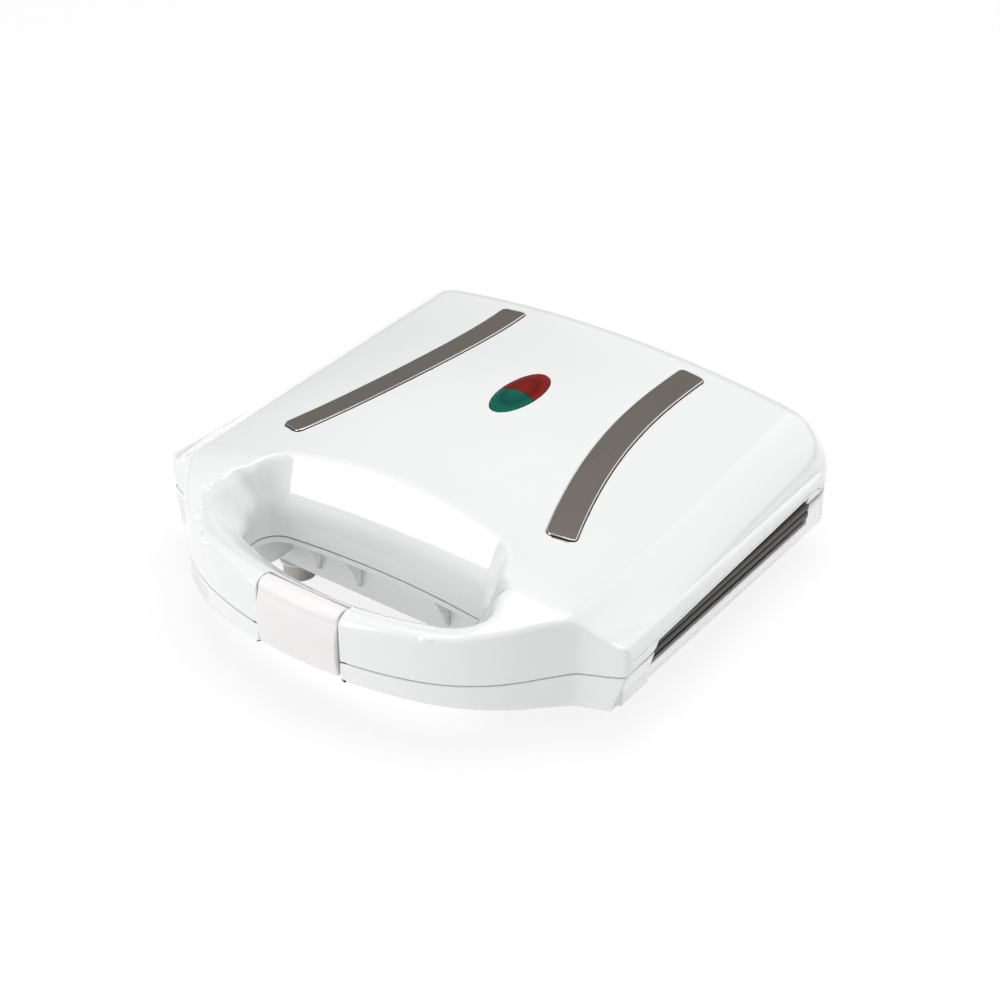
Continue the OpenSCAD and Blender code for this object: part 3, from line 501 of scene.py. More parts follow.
def lensMaterial(name, color, glow):
    # Dark tinted plastic with a pattern of small pyramids behind a clear face.
    material, tree, shader = makeMaterial(name)
    turn = node(tree, "ShaderNodeMapping", Vector=objectSpace(tree), Rotation=(0, 0, math.radians(45)))
    cells = node(tree, "ShaderNodeTexVoronoi", distance="CHEBYCHEV",
                 Vector=turn.outputs[0], Scale=620.0, Randomness=0.0).outputs["Distance"]
    shade = remap(tree, cells, 1.0, 0.0, (0.1, 0.5))
    feedAll(tree, shader, {"Base Color": blended(tree, shade, (*color, 1), (*glow, 1)),
                           "Roughness": 0.3, "Specular IOR Level": 0.15})
    useBump(tree, shader, cells, 0.0004, 0.5)
    return material


colors = {
    "housing": (0.80, 0.815, 0.805),
    "latch": (0.80, 0.788, 0.785),
    "strip": (0.155, 0.135, 0.118),
    "plate": (0.028, 0.026, 0.025),
}
housingLook = plastic("glossWhite", colors["housing"], 0.10, wave=0.12, grain=0.004, coat=0.6)
latchLook = plastic("matteWhite", colors["latch"], 0.46, wave=0.1, grain=0.12, bump=0.00012)
stripLook = metal("brushedStrip", colors["strip"], 0.42, (14.0, 0.35, 1.0), contrast=0.22, metallic=0.35)
plateLook = coated("nonStick", colors["plate"], (0.11, 0.11, 0.115), 0.33, 1500.0, 0.16, 0.00006)
# Painted highlight: a much lighter copy of the strip's metal for its bevel, standing in for the light caught
# along the edge.
highlightEdgeLook = metal("paintedHighlightEdge", (0.80, 0.77, 0.73), 0.22, (2.0, 2.0, 2.0), contrast=0.15)
# Painted shade: a near-black wall colour under the strips and lenses, standing in for the shade beside their
# raised faces.
shadeWallLook = coated("paintedShadeWall", (0.030, 0.008, 0.007), (0.07, 0.03, 0.025), 0.5, 1500.0, 0.16, 0.00002)
rimLook = coated("plateRim", (0.055, 0.046, 0.042), (0.11, 0.095, 0.088), 0.5, 1500.0, 0.16, 0.00006)
redLens = lensMaterial("redLens", (0.12, 0.004, 0.003), (0.32, 0.02, 0.012))
greenLens = lensMaterial("greenLens", (0.001, 0.060, 0.042), (0.002, 0.18, 0.125))
steelLook = metal("plainSteel", (0.56, 0.56, 0.55), 0.28, (2.0, 2.0, 2.0))
sheathLook = metal("heatedSheath", (0.15, 0.12, 0.10), 0.48, (3.0, 3.0, 3.0), contrast=0.9)
sheetLook = metal("aluminisedSheet", (0.62, 0.62, 0.60), 0.36, (0.5, 8.0, 1.0))
rubberLook = coated("rubber", (0.60, 0.57, 0.53), (0.66, 0.63, 0.59), 0.78, 2200.0, 0.2, 0.00008)
ivoryLook = plastic("ivoryBlock", (0.74, 0.70, 0.58), 0.5, grain=0.1)
brassLook = metal("brass", (0.70, 0.50, 0.20), 0.30, (3.0, 3.0, 3.0))
glandLook = plastic("glandNylon", (0.66, 0.66, 0.645), 0.42, grain=0.08)
leadLook = coated("wovenSleeve", (0.42, 0.045, 0.03), (0.62, 0.16, 0.10), 0.8, 1800.0, 0.35, 0.0002)
holderLook = plastic("lampHolderNylon", (0.70, 0.69, 0.64), 0.5, grain=0.1)
ceramicLook = coated("ceramic", (0.66, 0.60, 0.50), (0.45, 0.41, 0.34), 0.55, 1300.0, 0.2, 0.00005)
fuseLook = metal("tinnedFuse", (0.62, 0.56, 0.42), 0.33, (2.0, 6.0, 2.0))


def lampMaterial():
    material, tree, shader = makeMaterial("lampGlass")
    haze = noise(tree, objectSpace(tree), 300.0, 2.0)
    feedAll(tree, shader, {"Roughness": remap(tree, haze, 0.03, 0.16), "Base Color": (0.9, 0.72, 0.6, 1),
                           "Transmission Weight": 0.9})
    return material


lampLook = lampMaterial()
print("materials made")


# Outline of both housings.
def outlineHalf():
    nose = noseCentre
    shoulder = nose + (body["noseRadius"] - body["shoulderRadius"]) * away(body["noseAngle"])
    cheekEnd = away(body["cheekAngle"])
    cheekA = shoulder + body["shoulderRadius"] * cheekEnd
    along = np.array([-cheekEnd[1], cheekEnd[0]])
    cheekB = cheekA + body["cheekLength"] * along
    flare = cheekB + body["flareRadius"] * cheekEnd
    flareTurn = math.radians(body["flareAngle"])
    corner, rear = body["cornerRadius"], body["rearCornerRadius"]
    flareA = flare - body["flareRadius"] * away(body["flareAngle"])
    cornerX = body["halfWidth"] - corner
    flareBx = cornerX + corner * math.sin(flareTurn)
    flareB = np.array([flareBx, flareA[1] + (flareBx - flareA[0]) * math.tan(flareTurn)])
    cornerC = np.array([cornerX, flareB[1] + corner * math.cos(flareTurn)])
    rearC = np.array([body["rearHalfWidth"] - rear, body["rearY"] - rear])
    parts = [
        arc(nose, body["noseRadius"], 0, body["noseAngle"]),
        arc(shoulder, body["shoulderRadius"], body["noseAngle"], body["cheekAngle"]),
        line(cheekA, cheekB),
        arc(flare, -body["flareRadius"], body["cheekAngle"], body["flareAngle"], 0.8),
        line(flareA, flareB),
        arc(cornerC, corner, body["flareAngle"], 90, 0.6),
        line(cornerC + [corner, 0], rearC + [rear, 0], 1.8),
        arc(rearC, rear, 90, 180, 1.0),
        line(rearC + [0, rear], [0, body["rearY"]], 2.2),
    ]
    return parts, cornerC[1], cheekB[0]


outlineParts, cornerY, creaseX = outlineHalf()
crease = creaseX / body["halfWidth"]
notch = {"halfWidth": 20.2, "backY": -107.4, "mouthRadius": 0.5, "innerRadius": 0.8}
gap = {"fromX": 100.0, "front": -40.3, "rear": 80.3, "above": 37.9, "below": 26.9}


def withNotch():
    right = joined(outlineParts)
    right = right[right[:, 0] > notch["halfWidth"] + notch["mouthRadius"] + 0.4]
    # The side gap needs a sharp step, so its ends get two points side by side.
    out = []
    for p, q in zip(right[:-1], right[1:]):
        out.append(p)
        for y in (gap["front"], gap["rear"]):
            if p[0] > gap["fromX"] and p[1] < y - 0.06 and q[1] > y + 0.06:
                for nudge in (-0.04, 0.04):
                    share = (y + nudge - p[1]) / (q[1] - p[1])
                    out.append(p + (q - p) * share)
    out.append(right[-1])
    right = np.array(out)
    w = notch["halfWidth"]
    mouthY = noseCentre[1] - math.sqrt(body["noseRadius"] ** 2 - w * w)
    r, s = notch["mouthRadius"], notch["innerRadius"]
    t = np.linspace(0, math.pi / 2, 6)
    mouth = np.column_stack([w + r - r * np.cos(t), mouthY + r - r * np.sin(t)])
    wall = line([w, notch["backY"] - s], [w, mouthY + r], 0.9)
    inner = np.column_stack([w - s + s * np.cos(t[::-1]), notch["backY"] - s + s * np.sin(t[::-1])])
    back = line([0, notch["backY"]], [w - s, notch["backY"]], 1.2)
    half = joined([back, inner, wall, mouth, right])
    return joined([half, mirrored(half)])


lidLoop = withNotch()
print("outline made", len(lidLoop))

# Hand hole.
hole = {"halfWidth": 57.6, "barDepth": 21.0, "depth": 36.3, "rearRadius": 375.0, "cornerRadius": 11.0}
holeRearY = body["frontY"] + hole["barDepth"] + hole["depth"]


def holeLoop():
    front = body["noseRadius"] - hole["barDepth"]
    rearC = np.array([0, holeRearY - hole["rearRadius"]])
    reach = hole["halfWidth"] - hole["cornerRadius"]
    frontA = math.degrees(math.asin(reach / (front - hole["cornerRadius"])))
    rearA = math.degrees(math.asin(reach / (hole["rearRadius"] - hole["cornerRadius"])))
    r = hole["cornerRadius"]
    first = noseCentre + (front - hole["cornerRadius"]) * away(frontA)
    last = rearC + (hole["rearRadius"] - hole["cornerRadius"]) * away(180 - rearA)
    right = joined([
        arc(noseCentre, front, 0, frontA, 1.3),
        arc(first, r, frontA, 90, 0.36),
        line(first + [r, 0], last + [r, 0], 0.8),
        arc(last, r, 90, 180 - rearA, 0.36),
        arc(rearC, hole["rearRadius"], 180 - rearA, 180, 1.5),
    ])
    return joined([right, mirrored(right)])


holeEdge = holeLoop()
holeNormals = normalsOf(holeEdge)
lidNormals = normalsOf(lidLoop)

# Height of the lid.
top = {
    "fallFront": 12.5, "fallRear": 8.0, "slopeRun": 59.5, "slopeFall": 20.5,
    "lipFront": 14.8, "lipRear": 10.0, "lipShare": 0.85, "noseRise": 7.5,
    "rearRadius": 14.0, "hollowLength": 35.0, "rearPower": 0.6,
    "creaseFront": 0.010, "creaseRear": 0.035, "bow": 2.6,
}
# Directions round the hand hole, from the handle (-90) to the rear (90), and the width over which
# the bowl's wall rounds into the lid in each.
bowl = {
    "startZ": 43.1, "draft": 0.03, "lowerEdge": 2.5,
    "directions": (-90, -68, -33, 0, 18, 64, 90), "rims": (1.6, 1.6, 4.0, 6.0, 6.5, 2.6, 2.6),
    "barZ": 56.6, "barRun": 17, "barSlope": 0.2, "fallRun": 11.5, "fallSlope": 0.657, "fallBend": 1.6,
    "shoulderSlope": 0.9,
    # Height where each wall starts to lean out, the width of that bend, and how steep it is beyond.
    "side": (50, 1.5, 1.6), "steep": (50, 1.5, 3.6), "rear": (51.0, 4.0, 2.2),
    "reach": 40, "turns": 120, "steps": 400,  # size of the table
}


def sideX(y):
    rearC = body["rearY"] - body["rearCornerRadius"]
    return body["halfWidth"] - (body["halfWidth"] - body["rearHalfWidth"]) * np.clip(
        (y - cornerY) / (rearC - cornerY), 0, 1)


def alongLid(y):
    return np.clip((y - cornerY) / (body["rearY"] - cornerY), 0, 1)


def bowAt(y):
    # Rise of the crown's middle line above its ends.
    front = body["frontY"] + top["slopeRun"]
    rear = body["rearY"] - top["rearRadius"]
    u = 2 * np.clip((y - front) / (rear - front), 0, 1) - 1
    return top["bow"] * np.square(1 - u * u)


def section(share, y):
    # Height across the lid at one share of the half width, before the slope to the handle.
    topZ = body["crownZ"] - mix(top["fallFront"], top["fallRear"], alongLid(y))
    lip = body["partingZ"] + mix(top["lipFront"], top["lipRear"], alongLid(y))
    nose = body["partingZ"] + top["noseRise"]
    power = top["rearPower"] + np.exp(-np.maximum(0, y - cornerY) / top["hollowLength"])
    t = np.clip((share - crease) / (1 - crease), 0, 1)
    u = np.clip(t / top["lipShare"], 0, 1)
    v = np.clip((t - top["lipShare"]) / (1 - top["lipShare"]), 0, 1)
    slope = lip + (topZ - lip) * np.power(np.maximum(1 - u, 1e-9), power)
    turn = nose + (lip - nose) * np.sqrt(np.maximum(0, 1 - v * v))
    middle = body["crownZ"] + bowAt(y)
    crown = middle - (middle - topZ) * np.square(np.clip(share, 0, crease) / crease)
    return np.where(share <= crease, crown, np.where(t < top["lipShare"], slope, turn))


def rearEdge(x):
    # The outline's rear edge, with its rounded corners.
    r = body["rearCornerRadius"]
    dx = np.clip(x - (body["rearHalfWidth"] - r), 0, r)
    return body["rearY"] - r + np.sqrt(r ** 2 - dx * dx)


def plainTop(p):
    x, y = np.abs(p[:, 0]), p[:, 1]
    share = np.minimum(1, x / sideX(y))
    width = mix(top["creaseFront"], top["creaseRear"], alongLid(y))
    taps = np.linspace(-2, 2, 9)
    weights = 1 - np.abs(taps) / 2.5
    levels = [w * section(np.clip(share + k * width, 0, 1), y) for k, w in zip(taps, weights)]
    soft = sum(levels) / weights.sum()
    near = 1 - ramp((np.abs(share - crease) - 2 * width) / width)
    z = section(share, y) * (1 - near) + soft * near
    slopeY = body["frontY"] + top["slopeRun"]
    z = z - top["slopeFall"] * np.square(np.maximum(0, slopeY - y) / top["slopeRun"])
    s = np.clip((y - rearEdge(x) + top["rearRadius"]) / top["rearRadius"], 0, 1)
    turn = 1 - top["rearRadius"] / (body["crownZ"] - body["partingZ"]) * (1 - np.sqrt(1 - s * s))
    return body["partingZ"] + (z - body["partingZ"]) * turn


def softPlus(t, width):
    return width * np.logaddexp(0, t / width)


def bowlTable():
    # Heights of the bowl's wall for each direction (rows) and distance from the hole's edge (columns).
    run, z = np.linspace(0, 45, 2251), np.linspace(bowl["startZ"], 90, 700)
    edge = edgeFall(run, bowl["lowerEdge"])
    upright = bowl["draft"] * (z - bowl["startZ"])
    fall = bowl["fallSlope"] * softPlus(bowl["fallRun"] - run, bowl["fallBend"])
    bar = np.interp(z, bowl["barZ"] + bowl["barSlope"] * (run - bowl["barRun"]) - fall - edge, run)
    shoulder = np.interp(z, bowl["startZ"] + bowl["lowerEdge"] + bowl["shoulderSlope"] * run - edge, run)
    side, steep, rear = [upright + softPlus(z - start, bend) / slope
                         for start, bend, slope in (bowl["side"], bowl["steep"], bowl["rear"])]
    walls = [bar, bar, shoulder, side, steep, rear, rear]
    angles = np.linspace(-90, 90, bowl["turns"] + 1)
    shares = np.linspace(0, 1, bowl["steps"] + 1)
    rows = []
    for angle in angles:
        k = min(np.searchsorted(bowl["directions"], angle, side="right"), len(walls) - 1)
        low, high = bowl["directions"][k - 1], bowl["directions"][k]
        t = ramp((angle - low) / (high - low))
        wall = walls[k - 1] * (1 - t) + walls[k] * t
        rows.append(np.interp(bowl["reach"] * shares * shares, wall - wall[0], z))
    return np.array(rows)


bowlHeights = bowlTable()


def bowlWall(p):
    distance, index, share = nearest(p, holeEdge)
    share = share[:, None]
    normal = holeNormals[index] * (1 - share) + holeNormals[(index + 1) % len(holeEdge)] * share
    angle = np.degrees(np.arctan2(normal[:, 1], np.abs(normal[:, 0])))
    a = np.clip((angle + 90) / 180 * bowl["turns"], 0, bowl["turns"] - 0.001)
    b = np.clip(np.sqrt(distance / bowl["reach"]) * bowl["steps"], 0, bowl["steps"] - 0.001)
    i, j = a.astype(int), b.astype(int)
    a, b = a - i, b - j
    z = (bowlHeights[i, j] * (1 - a) + bowlHeights[i + 1, j] * a) * (1 - b) \
        + (bowlHeights[i, j + 1] * (1 - a) + bowlHeights[i + 1, j + 1] * a) * b
    return z, np.interp(angle, bowl["directions"], bowl["rims"])


lidEdge = {"radius": 2.3, "notchRadius": 0.6, "backRadius": 0.5, "sharp": 0.01, "fadeFrom": 8, "fadeTo": 2}


def lidEdgeRadius():
    radius = np.full(len(lidLoop), lidEdge["radius"])
    radius[np.abs(lidLoop[:, 1] - notch["backY"]) < 0.9] = lidEdge["backRadius"]
    inNotch = (np.abs(lidLoop[:, 0]) < notch["halfWidth"] + 0.1)
    radius[inNotch] = lidEdge["notchRadius"]
    sideY = cornerY - lidEdge["fadeTo"]
    side = lidLoop[:, 1] > sideY
    radius[side] = lidEdge["sharp"]
    fade = (lidLoop[:, 1] > cornerY - lidEdge["fadeFrom"]) & ~side
    run = lidEdge["fadeFrom"] - lidEdge["fadeTo"]
    radius[fade] = np.maximum(lidEdge["sharp"], lidEdge["radius"] * (sideY - lidLoop[fade, 1]) / run)
    return radius


lidRadius = lidEdgeRadius()


def openTop(p):
    z = plainTop(p)
    rows = np.flatnonzero(within(p, holeEdge, 30.0) < 30.0)
    if len(rows):
        wall, width = bowlWall(p[rows])
        z[rows] = softMin(z[rows], wall, width)
    return z


def lidTop(p):
    z = openTop(p)
    rows = np.flatnonzero(within(p, lidLoop, lidEdge["radius"]) < lidEdge["radius"])
    if len(rows):
        distance, index, share = nearest(p[rows], lidLoop)
        radius = lidRadius[index] * (1 - share) + lidRadius[(index + 1) % len(lidLoop)] * share
        z[rows] -= edgeFall(distance, radius)
    for loop, r in grooves:
        z = z - edgeFall(within(p, loop, r), r)
    return z


# Trim strips.
strip = {
    "width": 12.3, "radius": 332.0, "midX": 46.2, "midY": 79.0, "front": 20.7, "rear": 2.1,
    "cornerRadius": 2.4, "gap": 0.25, "proud": 0.7, "bevel": 0.42, "sunk": 1.15,
    "groove": 1.2,
}


def stripLoop(side, grow):
    centre = np.array([strip["midX"] + strip["radius"], strip["midY"]])
    half = strip["width"] / 2 + grow
    turn = math.degrees(grow / strip["radius"])
    r = strip["cornerRadius"] + grow
    bend = math.degrees(r / strip["radius"])
    a0, a1 = -strip["rear"] - turn, strip["front"] + turn

    def at(angle, radius):
        t = np.radians(angle)
        return np.stack([centre[0] - radius * np.cos(t), centre[1] - radius * np.sin(t)], -1)
    t = np.linspace(0, math.pi / 2, 6)
    inner, outer = strip["radius"] - half, strip["radius"] + half
    run = np.linspace(a0 + bend, a1 - bend, 70)
    near, far = at(run, inner), at(run[::-1], outer)
    ends = []
    corners = ((a1, inner, -1, 1), (a1, outer, -1, -1), (a0, outer, 1, -1), (a0, inner, 1, 1))
    for angle, radius, da, dr in corners:
        centreA, centreR = angle + da * bend, radius + dr * r
        if (angle == a1) == (radius == inner):
            ends.append(at(centreA - da * bend * np.sin(t), centreR - dr * r * np.cos(t)))
        else:
            ends.append(at(centreA - da * bend * np.cos(t), centreR - dr * r * np.sin(t)))
    loop = joined([near, ends[0], ends[1], far, ends[2], ends[3]])
    loop[:, 0] *= side
    area = np.cross(loop, np.roll(loop, -1, 0)).sum()
    return loop if area > 0 else loop[::-1]


# Indicator window.
window = {
    "length": 37.0, "width": 17.2, "y": 29.5, "gap": 0.35, "divideRadius": 18.92, "divideGap": 0.12,
    "proud": 1.0, "edge": 0.5, "floor": 70.8, "groove": 3.0, "dome": 1.1,
}


def ovalPoints():
    t = np.linspace(0, 2 * math.pi, 120, endpoint=False)
    a, b = window["width"] / 2, window["length"] / 2
    return np.column_stack([a * np.sin(t), window["y"] - b * np.cos(t)])


grooves = [(stripLoop(side, strip["gap"]), 0.4) for side in (-1, 1)] + [(ovalPoints(), 0.4)]


# Lid.
def lidPoints():
    lidRings = [0.03, 0.09, 0.18, 0.32, 0.5, 0.75, 1.05, 1.4, 1.8, 2.25, 2.65, 2.9, 3.0, 3.1, 3.2, 3.4, 3.8]
    holeRings = [0.04, 0.1, 0.17, 0.25, 0.36, 0.5, 0.7, 0.95] + list(np.arange(1.25, 12.5, 0.42)) \
        + [13.2, 14.2, 15.4, 17.0, 18.6]
    rows = [ringsInside(lidLoop, lidRings)] + [holeEdge + holeNormals * d for d in holeRings]
    for loop, _ in grooves:
        rows.append(ringsInside(loop, [-0.12, -0.32, -0.6]))
    shares = np.concatenate([
        np.linspace(0, crease - 0.05, 46),
        np.linspace(crease - 0.045, crease + 0.05, 20),
        np.linspace(crease + 0.06, 0.985, 12),
    ])
    grid = []
    for s in shares:
        x = s * body["rearHalfWidth"]
        turnY = rearEdge(x) - top["rearRadius"]
        ys = np.concatenate([np.arange(body["frontY"], turnY - 0.8, 1.8),
                             turnY + top["rearRadius"] * np.sin(np.radians(np.linspace(0, 88, 16)))])
        xs = s * sideX(ys)
        grid += [np.column_stack([xs, ys]), np.column_stack([-xs, ys])]
    grid = np.concatenate(grid)
    keep = (within(grid, lidLoop, 4.5) > 4.3) & (within(grid, holeEdge, 14.0) > 13.0)
    for loop, _ in grooves:
        keep &= within(grid, loop, 1.0) > 0.9
    grid = grid[keep]
    rings = np.concatenate(rows)
    keep = np.ones(len(rings), bool)
    first = len(lidRings) * len(lidLoop)
    spots = np.arange(first, first + len(holeRings) * len(holeEdge))
    keep[spots] = within(rings[spots], lidLoop, 4.0) > 3.4
    return np.concatenate([rings[keep], grid])


def thin(points, reach):
    # Drops points that crowd an earlier one.
    cells, kept = {}, []
    for i, p in enumerate(points):
        key = (int(p[0] // reach), int(p[1] // reach))
        close = False
        for a in (-1, 0, 1):
            for b in (-1, 0, 1):
                for j in cells.get((key[0] + a, key[1] + b), ()):
                    if abs(points[j][0] - p[0]) < reach and abs(points[j][1] - p[1]) < reach:
                        close = True
        if not close:
            cells.setdefault(key, []).append(i)
            kept.append(i)
    return points[kept]


def besideGap(loop):
    return (np.abs(loop[:, 0]) > gap["fromX"]) & (loop[:, 1] > gap["front"]) & (loop[:, 1] < gap["rear"])


def lidBottom(loop):
    side = besideGap(loop)
    return np.where(side, gap["above"], body["partingZ"] + body["halfGap"]), side


latchAxis = (-112.8, 51.33)
hinge = {
    "x": 70.0, "y": 114.5, "z": 34.5, "radius": 5.0, "edge": 0.7, "lidHalf": 10, "ears": (10.5, 20.5),
    "webFront": 107.6, "webRear": 113.6, "webEdge": 0.8, "webInset": 0.3,
}
posts = {"y": (-30.0, 78.0), "ledgeY": (-43.0, 83.0), "ledgeX": (105.3, 109.6), "ledgeHalf": 2}
lidWall = {
    "tuck": 1.5, "inset": 0.25, "round": 0.5, "ledge": 0.6, "holeRound": 0.6, "thickness": 2.5,
    "gapDepth": 9.0, "tuckRun": 6, "tuckEndY": 100,
}


def addWeb(build, a, b, low, high):
    inset = hinge["webInset"]
    corners = (a + inset, hinge["webFront"], low), (b - inset, hinge["webRear"], high)
    roundedBar(build, *corners, hinge["webEdge"])


def addKnuckle(build, a, b):
    pin = softProfile(a, b, hinge["radius"], hinge["edge"])
    turned(build, (1, 0, 0), (0, hinge["y"], hinge["z"]), pin, 56)


def addLedges(build, s, low, high):
    x0, x1 = sorted((s * posts["ledgeX"][0], s * posts["ledgeX"][1]))
    for y in posts["ledgeY"]:
        roundedBar(build, (x0, y - posts["ledgeHalf"], low), (x1, y + posts["ledgeHalf"], high), 0.4)


def makeLid():
    build = Build()
    extra = thin(lidPoints(), 0.03)
    upright = [(holeEdge, -holeNormals, np.full(len(holeEdge), True)), (lidLoop, lidNormals, lidRadius > 0.3)]
    sheetOver(build, lidLoop, [holeEdge] + [g[0] for g in grooves], extra, lidTop, clear=0.02, step=0.006,
              upright=upright)
    edgeZ = lidTop(lidLoop)
    bottom, gapSide = lidBottom(lidLoop)
    run, r, wall = lidWall["tuckRun"], lidWall["round"], lidWall["thickness"]
    sideways = np.clip((lidLoop[:, 1] - cornerY + run) / run, 0, 1) * (lidLoop[:, 1] < lidWall["tuckEndY"])
    tuck = -lidWall["tuck"] * sideways - lidWall["inset"]
    rows = []
    for t in np.linspace(0, 1, 7):
        rows.append((tuck * t * t, edgeZ + (bottom + r - edgeZ) * t, 1.0, -0.12 * t * sideways))
    for a in (0.5, 1.0, math.pi / 2):
        c, s = math.cos(a), math.sin(a)
        rows.append((tuck - r * (1 - c), bottom + r - r * s, c, -s))
    deep = np.where(gapSide, -lidWall["gapDepth"], -wall)
    rows += [(tuck - lidWall["ledge"], bottom, 0.0, -1.0), (deep, bottom, 0.0, -1.0)]
    wallAlong(build, lidLoop, rows)
    inner = [(deep, bottom, -1.0, 0.0), (deep, np.maximum(edgeZ - 3, bottom + 0.2), -1.0, 0.0)]
    wallAlong(build, lidLoop, inner)
    # Wall of the hand hole.
    holeZ = lidTop(holeEdge)
    low = body["partingZ"] + body["halfGap"]
    r = lidWall["holeRound"]
    rows = [(0.0, holeZ + (low + r - holeZ) * t, 1.0, 0.0) for t in np.linspace(0, 1, 5)]
    rows += [(-r * (1 - math.cos(a)), low + r - r * math.sin(a), math.cos(a), -math.sin(a))
             for a in (0.5, 1.0, math.pi / 2)]
    rows += [(-wall, low, 0.0, -1.0)]
    wallAlong(build, holeEdge, rows, side=-1)
    wallAlong(build, holeEdge, [(-wall, low, -1.0, 0.0), (-wall, holeZ - 1.0, -1.0, 0.0)], side=-1)
    # Grooves under the strips and the window's rim.
    for k, (loop, r) in enumerate(grooves):
        rim = lidTop(loop)
        deep = strip["groove"] if k < 2 else window["groove"]
        wallAlong(build, loop, [(0.0, rim, 1.0, 0.0), (0.0, rim + r - deep, 1.0, 0.0)], side=-1)
        if k < 2:
            sheetOver(build, loop, [], ringsInside(loop, [1.5, 3.5]), lambda p: plainTop(p) - strip["groove"])
    # Bosses that carry the latch pin, and the hinge knuckles.
    for s in (-1, 1):
        turned(build, (1, 0, 0), (0, latchAxis[0], latchAxis[1]),
               softProfile(*sorted((s * 20.4, s * 25.7)), 2.8, 0.3), 32)
        a, b = s * hinge["x"] - hinge["lidHalf"], s * hinge["x"] + hinge["lidHalf"]
        addKnuckle(build, a, b)
        addWeb(build, a, b, 35.2, 42.2)
        # Posts for the plate screws and the ledges beside the plate.
        if s > 0:
            post = [(42, 0.0), (42, 4.0), (56.4, 4.0), (56.4, 6.0), (69.5, 6.0)]
            for y in posts["y"]:
                turned(build, (0, 0, 1), (0, y, 0), post, 32)
        addLedges(build, s, 38.4, 42.0)
    return build.object("lidShell", housingLook, "housing", "lid", ["lid_housing"])


lidShell = makeLid()
print("lid made", len(lidShell.data.vertices))

# Base.
base = {"skirt": 16.5, "skirtRise": 9.0, "draft": 5.2, "tubZ": 8.0, "tubHalf": 98.0, "tubFront": -50.5,
        "tubRear": 106.0, "tubRadius": 10.0, "tubEdge": 2.2, "flangeTop": 34.3, "flange": 2.5,
        "flangeFront": -99.0, "flangeRear": -48.0, "underHalf": 59.6, "underFront": -96.6, "underWall": 2.4,
        "inset": 0.25, "topRound": 0.5, "lowRound": 1.8, "ledge": 2.6, "gapLedge": 1.7,
        "footX": 62.0, "footY": (-43.0, 83.0), "footRadius": 8.6, "recess": 1.0,
        "fins": (-44.0, -22.5, 22.5, 44.0), "finHeight": 18, "finHalf": 0.9}


def skirtZ(p):
    return base["skirt"] + base["skirtRise"] * np.clip((cornerY - p[:, 1]) / (cornerY - body["frontY"]), 0, 1)


def drafted(z):
    # The outline at height z: both sides lean in below the parting line.
    limit = body["halfWidth"] - 1.6 - base["draft"] * np.clip((base["flangeTop"] - z) / 18.0, 0, 1)
    x = np.abs(lidLoop[:, 0])
    x = np.where(x > 80, softMin(x, np.broadcast_to(limit, x.shape), 1.2), x)
    return np.column_stack([np.sign(lidLoop[:, 0]) * x, lidLoop[:, 1]])


def tShape():
    r = base["tubRadius"]
    w, f, b, u, h = base["tubHalf"], base["tubFront"], base["tubRear"], base["underHalf"], base["underFront"]
    right = joined([
        line([0, h], [u - 1.5, h], 3.0),
        arc([u - 1.5, h + 1.5], 1.5, 0, 90, 0.6),
        line([u, h + 1.5], [u, f - 1.5], 3.0),
        arc([u + 1.5, f - 1.5], -1.5, 90, 0, 0.6),
        line([u + 1.5, f], [w - r, f], 3.0),
        arc([w - r, f + r], r, 0, 90, 1.0),
        line([w, f + r], [w, b - r], 4.0),
        arc([w - r, b - r], r, 90, 180, 1.0),
        line([w - r, b], [0, b], 4.0),
    ])
    return joined([right, mirrored(right)])


